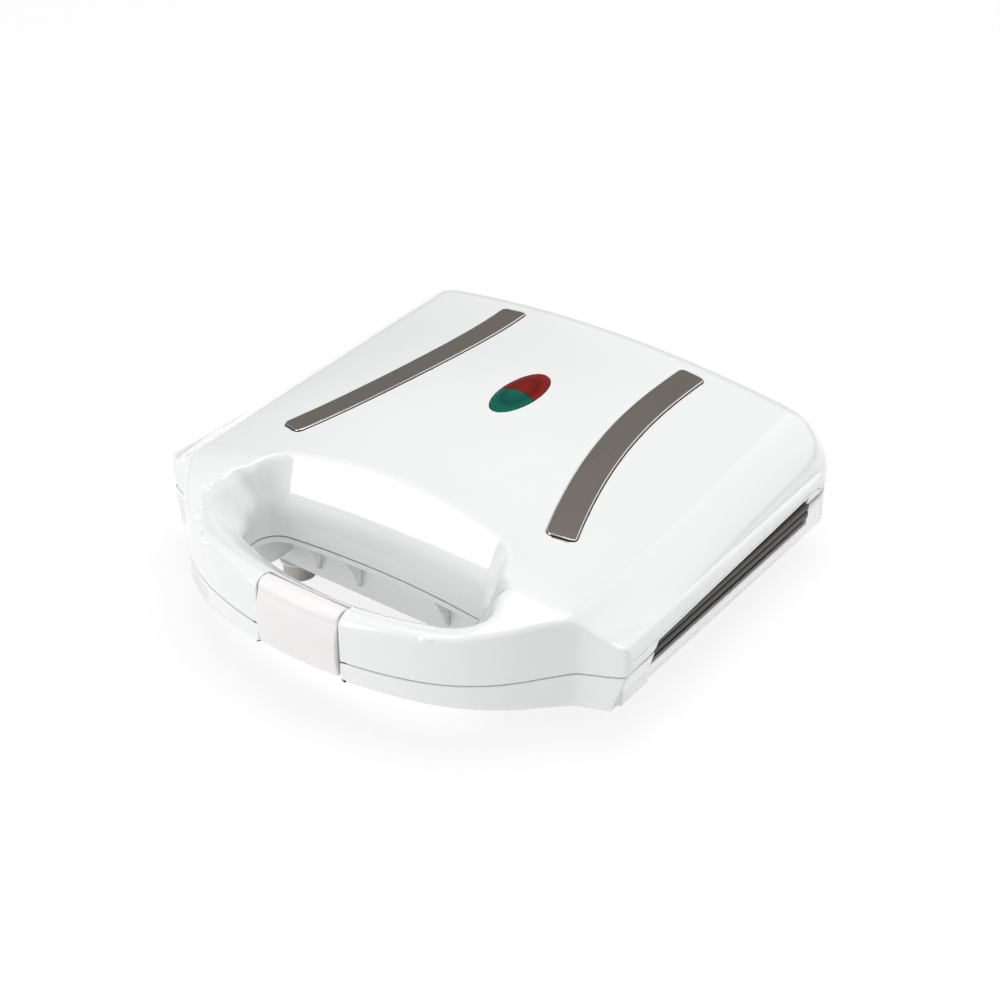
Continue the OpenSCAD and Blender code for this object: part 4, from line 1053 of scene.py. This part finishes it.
def makeBase():
    build = Build()
    count = len(lidLoop)
    sides = besideGap(lidLoop)
    upper = np.where(sides, gap["below"], base["flangeTop"])
    under = skirtZ(lidLoop)
    normals = lidNormals
    loops, levels, lean, rise = [], [], [], []
    inset, fillet, edge = base["inset"], base["lowRound"], base["topRound"]
    for a in (0.0, 0.6, 1.1, math.pi / 2):
        loops.append(drafted(upper - edge) - normals * (inset + edge * (1 - math.sin(a))))
        levels.append(upper - edge + edge * math.cos(a))
        lean.append(math.sin(a))
        rise.append(math.cos(a))
    for t in np.linspace(0, 1, 6)[1:]:
        z = upper - edge + (under + fillet - upper + edge) * t
        loops.append(drafted(z) - normals * inset)
        levels.append(z)
        lean.append(1.0)
        rise.append(-0.25)
    for a in (0.4, 0.8, 1.2, math.pi / 2):
        z = under + fillet - fillet * math.sin(a)
        loops.append(drafted(z) - normals * (inset + fillet * (1 - math.cos(a))))
        levels.append(z)
        lean.append(math.cos(a))
        rise.append(-math.sin(a) - 0.2)
    points = np.concatenate([np.column_stack([l, z]) for l, z in zip(loops, levels)])
    leans = np.concatenate([np.column_stack([normals * a, np.full(count, b)]) for a, b in zip(lean, rise)])
    faces = []
    for r in range(0, (len(loops) - 1) * count, count):
        for i in range(count):
            j = (i + 1) % count
            faces.append([r + i, r + count + i, r + count + j, r + j])
    build.add(points, leans, faces)
    # Top of the wall, which turns in as a ledge, and the inner side of the wall.
    rim = drafted(upper) - normals * (inset + edge)
    deep = np.where(sides, base["gapLedge"], base["ledge"])
    inner = rim - normals * (deep - edge)[:, None]
    quads = [[i, (i + 1) % count, count + (i + 1) % count, count + i] for i in range(count)]
    build.add(np.concatenate([np.column_stack([rim, upper]), np.column_stack([inner, upper])]),
              np.tile([0.0, 0, 1], (2 * count, 1)), quads)
    build.add(np.concatenate([np.column_stack([inner, upper]), np.column_stack([inner, under + 2.5])]),
              np.tile(np.column_stack([-normals, np.zeros(count)]), (2, 1)), quads)
    # Underside of the skirt, round the tub and the space below the flange.
    bottomLoop = loops[-1]
    hollow = tShape()
    spots = gridOf(np.linspace(-112, 112, 42), np.linspace(-117, 107, 42))
    sheetOver(build, bottomLoop, [hollow], spots, skirtZ, up=-1, clear=1.5)
    # Tub.
    tub = roundedLoop(base["tubHalf"], base["tubFront"], base["tubRear"], base["tubRadius"], 3.0, 1.0, 4.0)
    r = base["tubEdge"]
    lip = np.where((np.abs(tub[:, 0]) < base["underHalf"] + 1) & (tub[:, 1] < base["tubFront"] + 0.5),
                   base["flangeTop"] - base["flange"], base["skirt"] + 0.2)
    rows = [(0.0, lip, 1.0, 0.0), (0.0, base["tubZ"] + r, 1.0, 0.0)]
    rows += [(-r * (1 - math.cos(a)), base["tubZ"] + r - r * math.sin(a), math.cos(a), -math.sin(a))
             for a in (0.4, 0.8, 1.2, math.pi / 2)]
    wallAlong(build, tub, rows)
    floorLoop = tub - normalsOf(tub) * r
    feet = [arc([s * base["footX"], y], base["footRadius"], 0, 360, 1.6)[:-1]
            for s in (-1, 1) for y in base["footY"]]
    panelCorners = (([60, 0], 0), ([60, 44], 90), ([-60, 44], 180), ([-60, 0], 270))
    panel = joined([arc(centre, 4, turn, turn + 90, 1.0) for centre, turn in panelCorners])
    sheetOver(build, floorLoop, feet + [panel], gridOf(np.linspace(-94, 94, 30), np.linspace(-46, 102, 24)),
              lambda p: np.full(len(p), base["tubZ"]), up=-1, clear=1.0)
    recessZ = base["tubZ"] + base["recess"]
    for loop in feet + [panel]:
        wallAlong(build, loop, [(0.0, recessZ, 1.0, 0.0), (0.0, base["tubZ"], 1.0, -1.0)], side=-1)
        sheetOver(build, loop, [], np.zeros((0, 2)), lambda p: np.full(len(p), recessZ), up=-1)
    # Walls of the space under the flange, the flange, and the fins behind the hand hole.
    u, low = base["underHalf"], base["flangeTop"] - base["flange"]
    thick, tubY, underY = base["underWall"], base["tubFront"], base["underFront"]
    cavity = [(-u, tubY), (-u, underY), (u, underY), (u, tubY)]
    for (xa, ya), (xb, yb) in zip(cavity[:-1], cavity[1:]):
        p, q = np.array([xa, ya]), np.array([xb, yb])
        run = line(p, q, 4.0)
        out = np.array([q[1] - p[1], -(q[0] - p[0])]) / np.linalg.norm(q - p)
        n = len(run)
        floor = skirtZ(run)
        for offset, face in ((0.0, -1), (thick, 1)):
            pts = np.concatenate([np.column_stack([run + out * offset, floor]),
                                  np.column_stack([run + out * offset, np.full(n, low + 0.1)])])
            quads = [[i, i + 1, n + i + 1, n + i] for i in range(n - 1)]
            build.add(pts, np.tile([*(out * face), 0.0], (2 * n, 1)),
                      quads if face > 0 else [f[::-1] for f in quads])
    flangeLoop = rectangle(-u - thick, base["flangeFront"], u + thick, base["flangeRear"], 4)
    ring = np.concatenate([holeEdge + holeNormals * 1.0, holeEdge + holeNormals * 2.0])
    sheetOver(build, flangeLoop, [holeEdge], ring, lambda p: np.full(len(p), base["flangeTop"]))
    sheetOver(build, flangeLoop, [holeEdge], ring, lambda p: np.full(len(p), low), up=-1)
    rows = [(-0.4 * (1 - math.sin(a)), base["flangeTop"] - 0.4 + 0.4 * math.cos(a), math.sin(a), math.cos(a))
            for a in (0.0, 0.8, math.pi / 2)]
    rows += [(0.0, low, 1.0, 0.0)]
    wallAlong(build, holeEdge, rows, side=-1)
    for x in base["fins"]:
        fin(build, x)
    # Hinge ears, with the webs that carry them.
    for s in (-1, 1):
        for k in (-1, 1):
            a, b = sorted(s * hinge["x"] + k * end for end in hinge["ears"])
            addKnuckle(build, a, b)
            addWeb(build, a, b, 26.6, 34.2)
        addLedges(build, s, 21.5, 30.4)
    post = [(9.0, 6.0), (12.6, 6.0), (12.6, 4.0), (27.5, 4.0), (27.5, 0.0)]
    for y in posts["y"]:
        turned(build, (0, 0, 1), (0, y, 0), post, 32)
    return build.object("baseShell", housingLook, "housing", "base", ["base_housing"])


def fin(build, x):
    # A rib that narrows downwards below the flange, with softly rounded edges.
    z1 = base["flangeTop"] - base["flange"] + 0.05
    z0, y = z1 - base["finHeight"], base["tubFront"]
    profile = [(holeRearY + 0.3, z1), (y + 0.6, z1), (y + 0.6, z0), (y - 1.0, z0)]
    bm = bmesh.new()
    ends = [[bm.verts.new((x + dx, y, z)) for y, z in profile] for dx in (-base["finHalf"], base["finHalf"])]
    bm.faces.new(ends[0])
    bm.faces.new(ends[1][::-1])
    for i in range(4):
        j = (i + 1) % 4
        bm.faces.new([ends[0][j], ends[0][i], ends[1][i], ends[1][j]])
    bmesh.ops.recalc_face_normals(bm, faces=bm.faces[:])
    bmesh.ops.bevel(bm, geom=bm.edges[:], offset=0.3, segments=2, affect="EDGES")
    takeFrom(build, bm)


baseShell = makeBase()
print("base made", len(baseShell.data.vertices))


# Strips, lenses.
def makeStrip(name, side, nodeName):
    loop, flat, bevel = stripLoop(side, 0.0), stripLoop(side, -strip["bevel"]), strip["bevel"]

    def height(p):
        return plainTop(p) + strip["proud"] - 0.12 * (1 - ramp(within(p, flat, 0.3) / 0.3))
    grid = gridOf(np.arange(-100, 100, 1.7), np.arange(-60, 100, 1.7))
    grid = grid[inside(grid, flat)]
    grid = grid[within(grid, flat, 1.1) > 1.0]
    extra = np.concatenate([ringsInside(flat, [0.08, 0.16, 0.3, 0.6]), grid])
    build = Build()
    sheetOver(build, flat, [], extra, height, clear=0.02)
    # Painted highlight: a bright metal edge round the face, lighter than the strip. Painted shade: a
    # near-black wall below it.
    edge, wall = Build(), Build()
    rim = plainTop(loop) + strip["proud"]
    start = rim - 0.12
    wallAlong(edge, loop, [(-bevel, start, 0.5, 0.87), (-bevel / 2, start - 0.05, 0.7, 0.7),
                           (0.0, rim - bevel, 0.87, 0.5)])
    wallAlong(wall, loop, [(0.0, rim - bevel, 1.0, 0.0), (0.0, plainTop(loop) - strip["sunk"], 1.0, 0.0)])
    edge.object(name + "Edge", highlightEdgeLook, "trim", "lid")
    wall.object(name + "Wall", shadeWallLook, "trim", "lid")
    return build.object(name, stripLook, "trim", "lid", [nodeName])


makeStrip("leftStrip", -1, "left_trim_strip")
makeStrip("rightStrip", 1, "right_trim_strip")


def lensLoops():
    centre = np.array([0.0, window["y"] - window["divideRadius"]])
    a, b = window["width"] / 2 - window["gap"], window["length"] / 2 - window["gap"]
    # Where the divide meets the oval, on the right.
    t = np.linspace(0, math.pi, 4000)
    edge = np.column_stack([a * np.sin(t), window["y"] - b * np.cos(t)])
    k = np.argmin(np.abs(np.hypot(*(edge - centre).T) - window["divideRadius"]))
    meet = edge[k]
    angle = math.degrees(math.atan2(meet[0], meet[1] - centre[1]))
    result = []
    for keepFront in (True, False):
        shift = -window["divideGap"] if keepFront else window["divideGap"]
        radius = window["divideRadius"] + shift
        tt = np.radians(np.linspace(angle, -angle, 40))
        divide = centre + radius * np.column_stack([np.sin(tt), np.cos(tt)])
        if keepFront:
            right = edge[:k][::33]
            loop = joined([right, divide, mirrored(right)], 0.05)
        else:
            right = edge[k:][::33]
            loop = joined([divide[::-1], right, mirrored(right)], 0.05)
        result.append(loop)
    return result


def makeLens(name, loop, material, slotName, nodeName):
    build = Build()

    def height(p):
        across, along = p[:, 0] / (window["width"] / 2), (p[:, 1] - window["y"]) / (window["length"] / 2)
        rho = np.square(across) + np.square(along)
        dome = body["crownZ"] + bowAt(window["y"]) + window["proud"] - window["dome"] * np.clip(rho, 0, 1.2)
        return dome - edgeFall(within(p, loop, window["edge"]), window["edge"])
    grid = gridOf(np.arange(-10, 10, 0.7), np.arange(8, 50, 0.7))
    grid = grid[inside(grid, loop)]
    grid = grid[within(grid, loop, 0.9) > 0.8]
    extra = np.concatenate([ringsInside(loop, [0.04, 0.13, 0.27, 0.5]), grid])
    sheetOver(build, loop, [], extra, height, clear=0.02)
    # Painted shade: the lens's wall takes the near-black wall colour.
    wall = Build()
    wallAlong(wall, loop, [(0.0, height(loop), 1.0, 0.0), (0.0, window["floor"], 1.0, 0.0)])
    wall.object(name + "Wall", shadeWallLook, slotName, "lid")
    return build.object(name, material, slotName, "lid", [nodeName])


frontLens, rearLens = lensLoops()
makeLens("greenLens", frontLens, greenLens, "green_lens", "ready_lens")
makeLens("redLens", rearLens, redLens, "red_lens", "power_lens")
print("trim made")

# Latch.
latch = {"halfWidth": 19.7, "bottom": 27.2, "proud": 1.5, "dish": 1.9, "edge": 0.8,
         "pinRadius": 4.75, "pinPower": 2.6}


def makeLatch():
    build = Build()
    y0, z0, r, power = *latchAxis, latch["pinRadius"], latch["pinPower"]
    face = body["frontY"] - latch["proud"]
    profile = []
    for a in np.linspace(-0.25, math.pi, 26):
        c, s = math.cos(a), math.sin(a)
        k = (abs(c) ** power + abs(s) ** power) ** (-1 / power)
        profile.append((y0 + r * c * k, z0 + r * s * k))
    for t in np.linspace(0, 1, 22)[1:]:
        z = z0 + (latch["bottom"] + 1.0 - z0) * t
        profile.append((face + latch["dish"] * (2 * t - 1) ** 2 * (1.0 if t < 0.5 else 0.75), z))
    endY = profile[-1][0]
    for a in np.linspace(0, math.pi / 2, 5)[1:]:
        profile.append((endY + 1.0 - math.cos(a), latch["bottom"] + 1.0 - math.sin(a)))
    profile += [(endY + 2.9, latch["bottom"]), (endY + 3.0, latch["bottom"] + 12), (-114.4, 44.5),
                (-112.0, 46.8), (-109.0, 48.6)]
    profile = np.array(profile)
    n = len(profile)
    ends = np.roll(profile, -1, 0) - np.roll(profile, 1, 0)
    out = np.column_stack([-ends[:, 1], ends[:, 0]])
    out /= np.linalg.norm(out, axis=1)[:, None]
    middle = profile.mean(0)
    if ((profile - middle) * out).sum() < 0:
        out = -out
    w, e = latch["halfWidth"], latch["edge"]
    stations = [(-w + e - e * math.cos(a), e * (1 - math.sin(a)), -math.cos(a), math.sin(a))
                for a in np.linspace(0, math.pi / 2, 6)]
    stations += [(x, 0.0, 0.0, 1.0) for x in np.linspace(-w + e, w - e, 24)[1:-1]]
    stations += [(w - e + e * math.sin(a), e * (1 - math.cos(a)), math.sin(a), math.cos(a))
                 for a in np.linspace(0, math.pi / 2, 6)]
    points, normals = [], []
    for x, inset, lean, keep in stations:
        bulge = x * x / (2 * body["noseRadius"])
        front = np.clip((latchAxis[0] - profile[:, 0]) / 3, 0, 1)
        yz = profile - out * inset
        points.append(np.column_stack([np.full(n, x), yz[:, 0] + bulge * front, yz[:, 1]]))
        turn = x / body["noseRadius"] * front * (out[:, 0] < 0)
        normals.append(np.column_stack([lean + turn, out[:, 0] * keep, out[:, 1] * keep]))
    faces = []
    for s in range(len(stations) - 1):
        for i in range(n):
            j = (i + 1) % n
            faces.append([s * n + i, s * n + j, (s + 1) * n + j, (s + 1) * n + i])
    build.add(np.concatenate(points), np.concatenate(normals), faces)
    for k, sign in ((0, -1), (len(stations) - 1, 1)):
        cap = points[k]
        build.add(cap, np.tile([sign, 0.0, 0.0], (n, 1)), [list(range(n))[::sign]])
    roundedBar(build, (-7.0, -115.2, 29.5), (7.0, -106.4, 32.3), 0.5)
    return build.object("latchPiece", latchLook, "latch", "latch", ["latch"])


makeLatch()
print("latch made")

# Plates.
plate = {"halfWidth": 109.0, "front": -46.0, "rear": 86.0, "corner": 8.0, "face": 0.25, "rim": 3.5,
         "depth": 12.5, "slope": 9.0, "ridge": 7.0, "border": 6.0, "edge": 1.0,
         "screwRadius": 2.9, "screwSunk": 1.65, "backBorder": 6.0}


def triangleDistance(p, tri):
    # Positive inside a triangle that runs anticlockwise, with rounded corners.
    result = None
    for k in range(3):
        a, b = tri[k], tri[(k + 1) % 3]
        along = (b - a) / np.linalg.norm(b - a)
        d = (p[:, 1] - a[1]) * along[0] - (p[:, 0] - a[0]) * along[1]
        result = d if result is None else softMin(result, d, 6.0)
    return result


def wellLevel(tri, depth):
    # Points along the line that lies one distance inside a triangle.
    points = joined([line(tri[k], tri[(k + 1) % 3], 0.9) for k in range(3)])
    small = 0.01
    for _ in range(14):
        value = triangleDistance(points, tri)
        slope = np.column_stack([triangleDistance(points + [small, 0], tri) - value,
                                 triangleDistance(points + [0, small], tri) - value]) / small
        points = points + (depth - value)[:, None] * slope / (np.square(slope).sum(1)[:, None] + 0.05)
    return points[np.abs(triangleDistance(points, tri) - depth) < 0.05]


def dip(distance):
    # Share of a pocket's depth at a distance inside its edge.
    t = np.clip(distance / plate["slope"], 0, 1)
    return t * t * (3 - 2 * t) * 0.5 + t * 0.5


def wells():
    x0, x1 = plate["ridge"], plate["halfWidth"] - plate["border"]
    y0, y1 = plate["front"] + plate["border"], plate["rear"] - plate["border"]
    cut = plate["ridge"] * 1.2
    front = [(x0, y0), (x1 - cut, y0), (x0, y1 - cut)]
    rear = [(x1, y1), (x0 + cut, y1), (x1, y0 + cut)]
    out = []
    for tri in (front, rear):
        out.append(np.array(tri, float))
        out.append(np.array([(-x, y) for x, y in tri[::-1]], float))
    return out


def makePlate(name, nodeName, rides, up):
    # up is +1 for the lower plate, whose face looks up, and -1 for the upper one.
    build = Build()
    outline = roundedLoop(plate["halfWidth"], plate["front"], plate["rear"], plate["corner"], 2.0, 0.9, 2.0)
    triangles = wells()
    screws = [arc([0, y], plate["screwRadius"], 0, 360, 0.8)[:-1] for y in posts["y"]]
    faceZ = body["partingZ"] - up * plate["face"]

    def height(p):
        z = np.zeros(len(p))
        for tri in triangles:
            d = triangleDistance(p, tri)
            z = np.maximum(z, plate["depth"] * dip(d))
        ridge = edgeFall(within(p, outline, plate["edge"]), plate["edge"])
        return faceZ - up * (z + ridge)
    spots = gridOf(np.linspace(-107, 107, 144), np.linspace(-44, 84, 88))
    creases = (0.0, plate["slope"])
    levels = []
    for tri in triangles:
        d = triangleDistance(spots, tri)
        spots = spots[np.minimum(np.abs(d - creases[0]), np.abs(d - creases[1])) > 0.7]
        levels += [wellLevel(tri, c + k) for c in creases for k in (-0.35, 0.0, 0.35)]
    extra = np.concatenate([ringsInside(outline, [0.1, 0.35, 0.7, 1.1]), spots] + levels)
    sheetOver(build, outline, screws, extra, height, up=up, clear=0.05, step=0.15)
    edgeZ = height(outline)
    back = faceZ - up * plate["rim"]
    rows = [(0.0, edgeZ, 1.0, 0.0), (0.0, back, 1.0, 0.0)]
    backRows = [(0.0, back, 0.0, -up), (-plate["backBorder"], back, 0.0, -up)]
    if up < 0:
        rows, backRows = rows[::-1], backRows[::-1]
    wallAlong(build, outline, rows)
    wallAlong(build, outline, backRows)
    sunkZ = faceZ - up * plate["screwSunk"]
    for loop in screws:
        rows = [(0.0, faceZ, 1.0, 0.0), (0.0, sunkZ, 1.0, 0.0)]
        wallAlong(build, loop, rows if up > 0 else rows[::-1], side=-1)
        sheetOver(build, loop, [], np.zeros((0, 2)), lambda p: np.full(len(p), sunkZ), up=up)
    # Back of the plate, with the pockets showing through as swellings.
    spots = gridOf(np.linspace(-103, 103, 70), np.linspace(-40, 80, 42))
    innerLoop = outline - normalsOf(outline) * plate["backBorder"]

    def rearHeight(p):
        z = np.zeros(len(p))
        for tri in triangles:
            z = np.maximum(z, (plate["depth"] - 1.5) * dip(triangleDistance(p, tri) + 2.0))
        return back - up * z
    sheetOver(build, innerLoop, [], spots, rearHeight, up=-up, clear=0.5, step=0.2)
    if up > 0:
        # Flange that closes the space between the plate's edge and the wall of the base.
        for s in (-1, 1):
            x0, x1 = sorted((s * 103.0, s * 109.3))
            roundedBar(build, (x0, -39.9, 25.2), (x1, 79.9, 26.2), 0.3)
    return build.object(name, plateLook, "plate", rides, [nodeName])


makePlate("lowerPlate", "lower_plate", "base", 1)
makePlate("upperPlate", "upper_plate", "lid", -1)

# Rims of both plates, seen in the gap at each side of the housings.
sideRim = {
    "inner": 108.5, "outer": 112.2, "slack": 0.5, "radius": 0.3, "base": (31.3, 34.1), "lid": (34.95, 37.5),
}


def makeRims(name, rides):
    build = Build()
    z0, z1 = sideRim[rides]
    for s in (-1, 1):
        x0, x1 = sorted((s * sideRim["inner"], s * sideRim["outer"]))
        roundedBar(build, (x0, gap["front"] + sideRim["slack"], z0), (x1, gap["rear"] - sideRim["slack"], z1),
                   sideRim["radius"])
    return build.object(name, rimLook, "plate", rides)


makeRims("lowerPlateRims", "base")
makeRims("upperPlateRims", "lid")
print("plates made")

# Pieces kept from the frame.
nodeLooks = {
    "lower_element": sheathLook, "upper_element": sheathLook,
    "lower_tray": sheetLook, "upper_tray": sheetLook,
    "lower_plate_screws": steelLook, "upper_plate_screws": steelLook, "hinge_pins": steelLook,
    "latch_pin": steelLook, "rubber_feet": rubberLook, "terminal_block": ivoryLook,
    "terminal_screws": brassLook, "cord_gland": glandLook, "base_leads": leadLook, "lid_leads": leadLook,
    "lamp_holder": holderLook, "power_lamp": lampLook, "ready_lamp": lampLook, "thermostat": ceramicLook,
    "thermal_fuse": fuseLook, "fuse_clip": sheetLook,
}
for name, look in nodeLooks.items():
    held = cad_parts[name]
    held.data.materials.clear()
    held.data.materials.append(look)

# Camera, floor and light.
def lookFrom(at, target):
    at = Vector(at)
    return Matrix.Translation(at) @ (Vector(target) - at).to_track_quat("-Z", "Y").to_matrix().to_4x4()


view = {
    "position": (0.4962, -0.6765, 0.5956), "target": (-0.0005, 0.0165, 0.02907),
    "lens": 87.25, "sensor": 36, "roll": 0.418,
}
camera = bpy.data.objects.new("camera", bpy.data.cameras.new("camera"))
bpy.context.scene.collection.objects.link(camera)
camera.data.lens, camera.data.sensor_width = view["lens"], view["sensor"]
camera.data.clip_end = 20
roll = Matrix.Rotation(math.radians(view["roll"]), 4, "Z")
camera.matrix_world = lookFrom(view["position"], view["target"]) @ roll
bpy.context.scene.camera = camera


floor = {"half": 6.0, "color": (0.92, 0.92, 0.92, 1), "plainWhite": 0.84}


def makeFloor():
    # White paper. Cameras and reflections see it mostly as plain white, with a light shadow left in.
    material, tree, shader = makeMaterial("floorPaper")
    fibre = noise(tree, objectSpace(tree), 900.0, 3.0)
    feedAll(tree, shader, {"Base Color": floor["color"], "Roughness": 0.9, "Specular IOR Level": 0.1})
    useBump(tree, shader, fibre, 0.00005, 0.3)
    glow = node(tree, "ShaderNodeEmission", Color=(1, 1, 1, 1), Strength=1.0)
    path = node(tree, "ShaderNodeLightPath").outputs
    seen = maths(tree, "ADD", path["Is Camera Ray"], path["Is Glossy Ray"])
    also = maths(tree, "ADD", seen, path["Is Transmission Ray"])
    share = node(tree, "ShaderNodeMath", also, floor["plainWhite"], operation="MULTIPLY", use_clamp=True)
    blend = node(tree, "ShaderNodeMixShader", share.outputs[0], shader.outputs[0], glow.outputs[0])
    output = next(n for n in tree.nodes if n.type == "OUTPUT_MATERIAL")
    feed(tree, output, "Surface", blend.outputs[0])
    mesh = bpy.data.meshes.new("floor")
    w = floor["half"]
    mesh.from_pydata([(-w, -w, 0), (w, -w, 0), (w, w, 0), (-w, w, 0)], [], [[0, 1, 2, 3]])
    made = bpy.data.objects.new("floor", mesh)
    bpy.context.scene.collection.objects.link(made)
    mesh.materials.append(material)


makeFloor()

world = bpy.data.worlds.new("studio")
bpy.context.scene.world = world
world.use_nodes = True
background = world.node_tree.nodes["Background"]
background.inputs["Color"].default_value = (1, 1, 1, 1)
seen = node(world.node_tree, "ShaderNodeLightPath").outputs["Is Camera Ray"]
feed(world.node_tree, background, "Strength", remap(world.node_tree, seen, 0.27, 1.0))

lights = [
    {"name": "topBox", "at": (0.1, 0.1, 1.8), "aim": (0, 0, 0.05), "size": (1.2, 1.2), "power": 25.0},
    {"name": "frontBox", "at": (-1.07, -1.87, 0.72), "aim": (0, 0, 0.05), "size": (1.3, 1.35), "power": 24.0},
    {"name": "rearBox", "at": (0.9, 1.5, 0.9), "aim": (0, 0, 0.05), "size": (2.0, 1.3), "power": 6.0},
    {"name": "sideBox", "at": (1.5, 0.1, 0.9), "aim": (0, 0, 0.05), "size": (0.9, 1.2), "power": 3.0},
]
for spec in lights:
    lamp = bpy.data.lights.new(spec["name"], "AREA")
    lamp.shape = "RECTANGLE"
    lamp.size, lamp.size_y = spec["size"]
    lamp.energy = spec["power"]
    holder = bpy.data.objects.new(spec["name"], lamp)
    bpy.context.scene.collection.objects.link(holder)
    holder.matrix_world = lookFrom(spec["at"], spec["aim"])

bpy.context.scene.view_settings.view_transform = "Standard"
print("studio made")
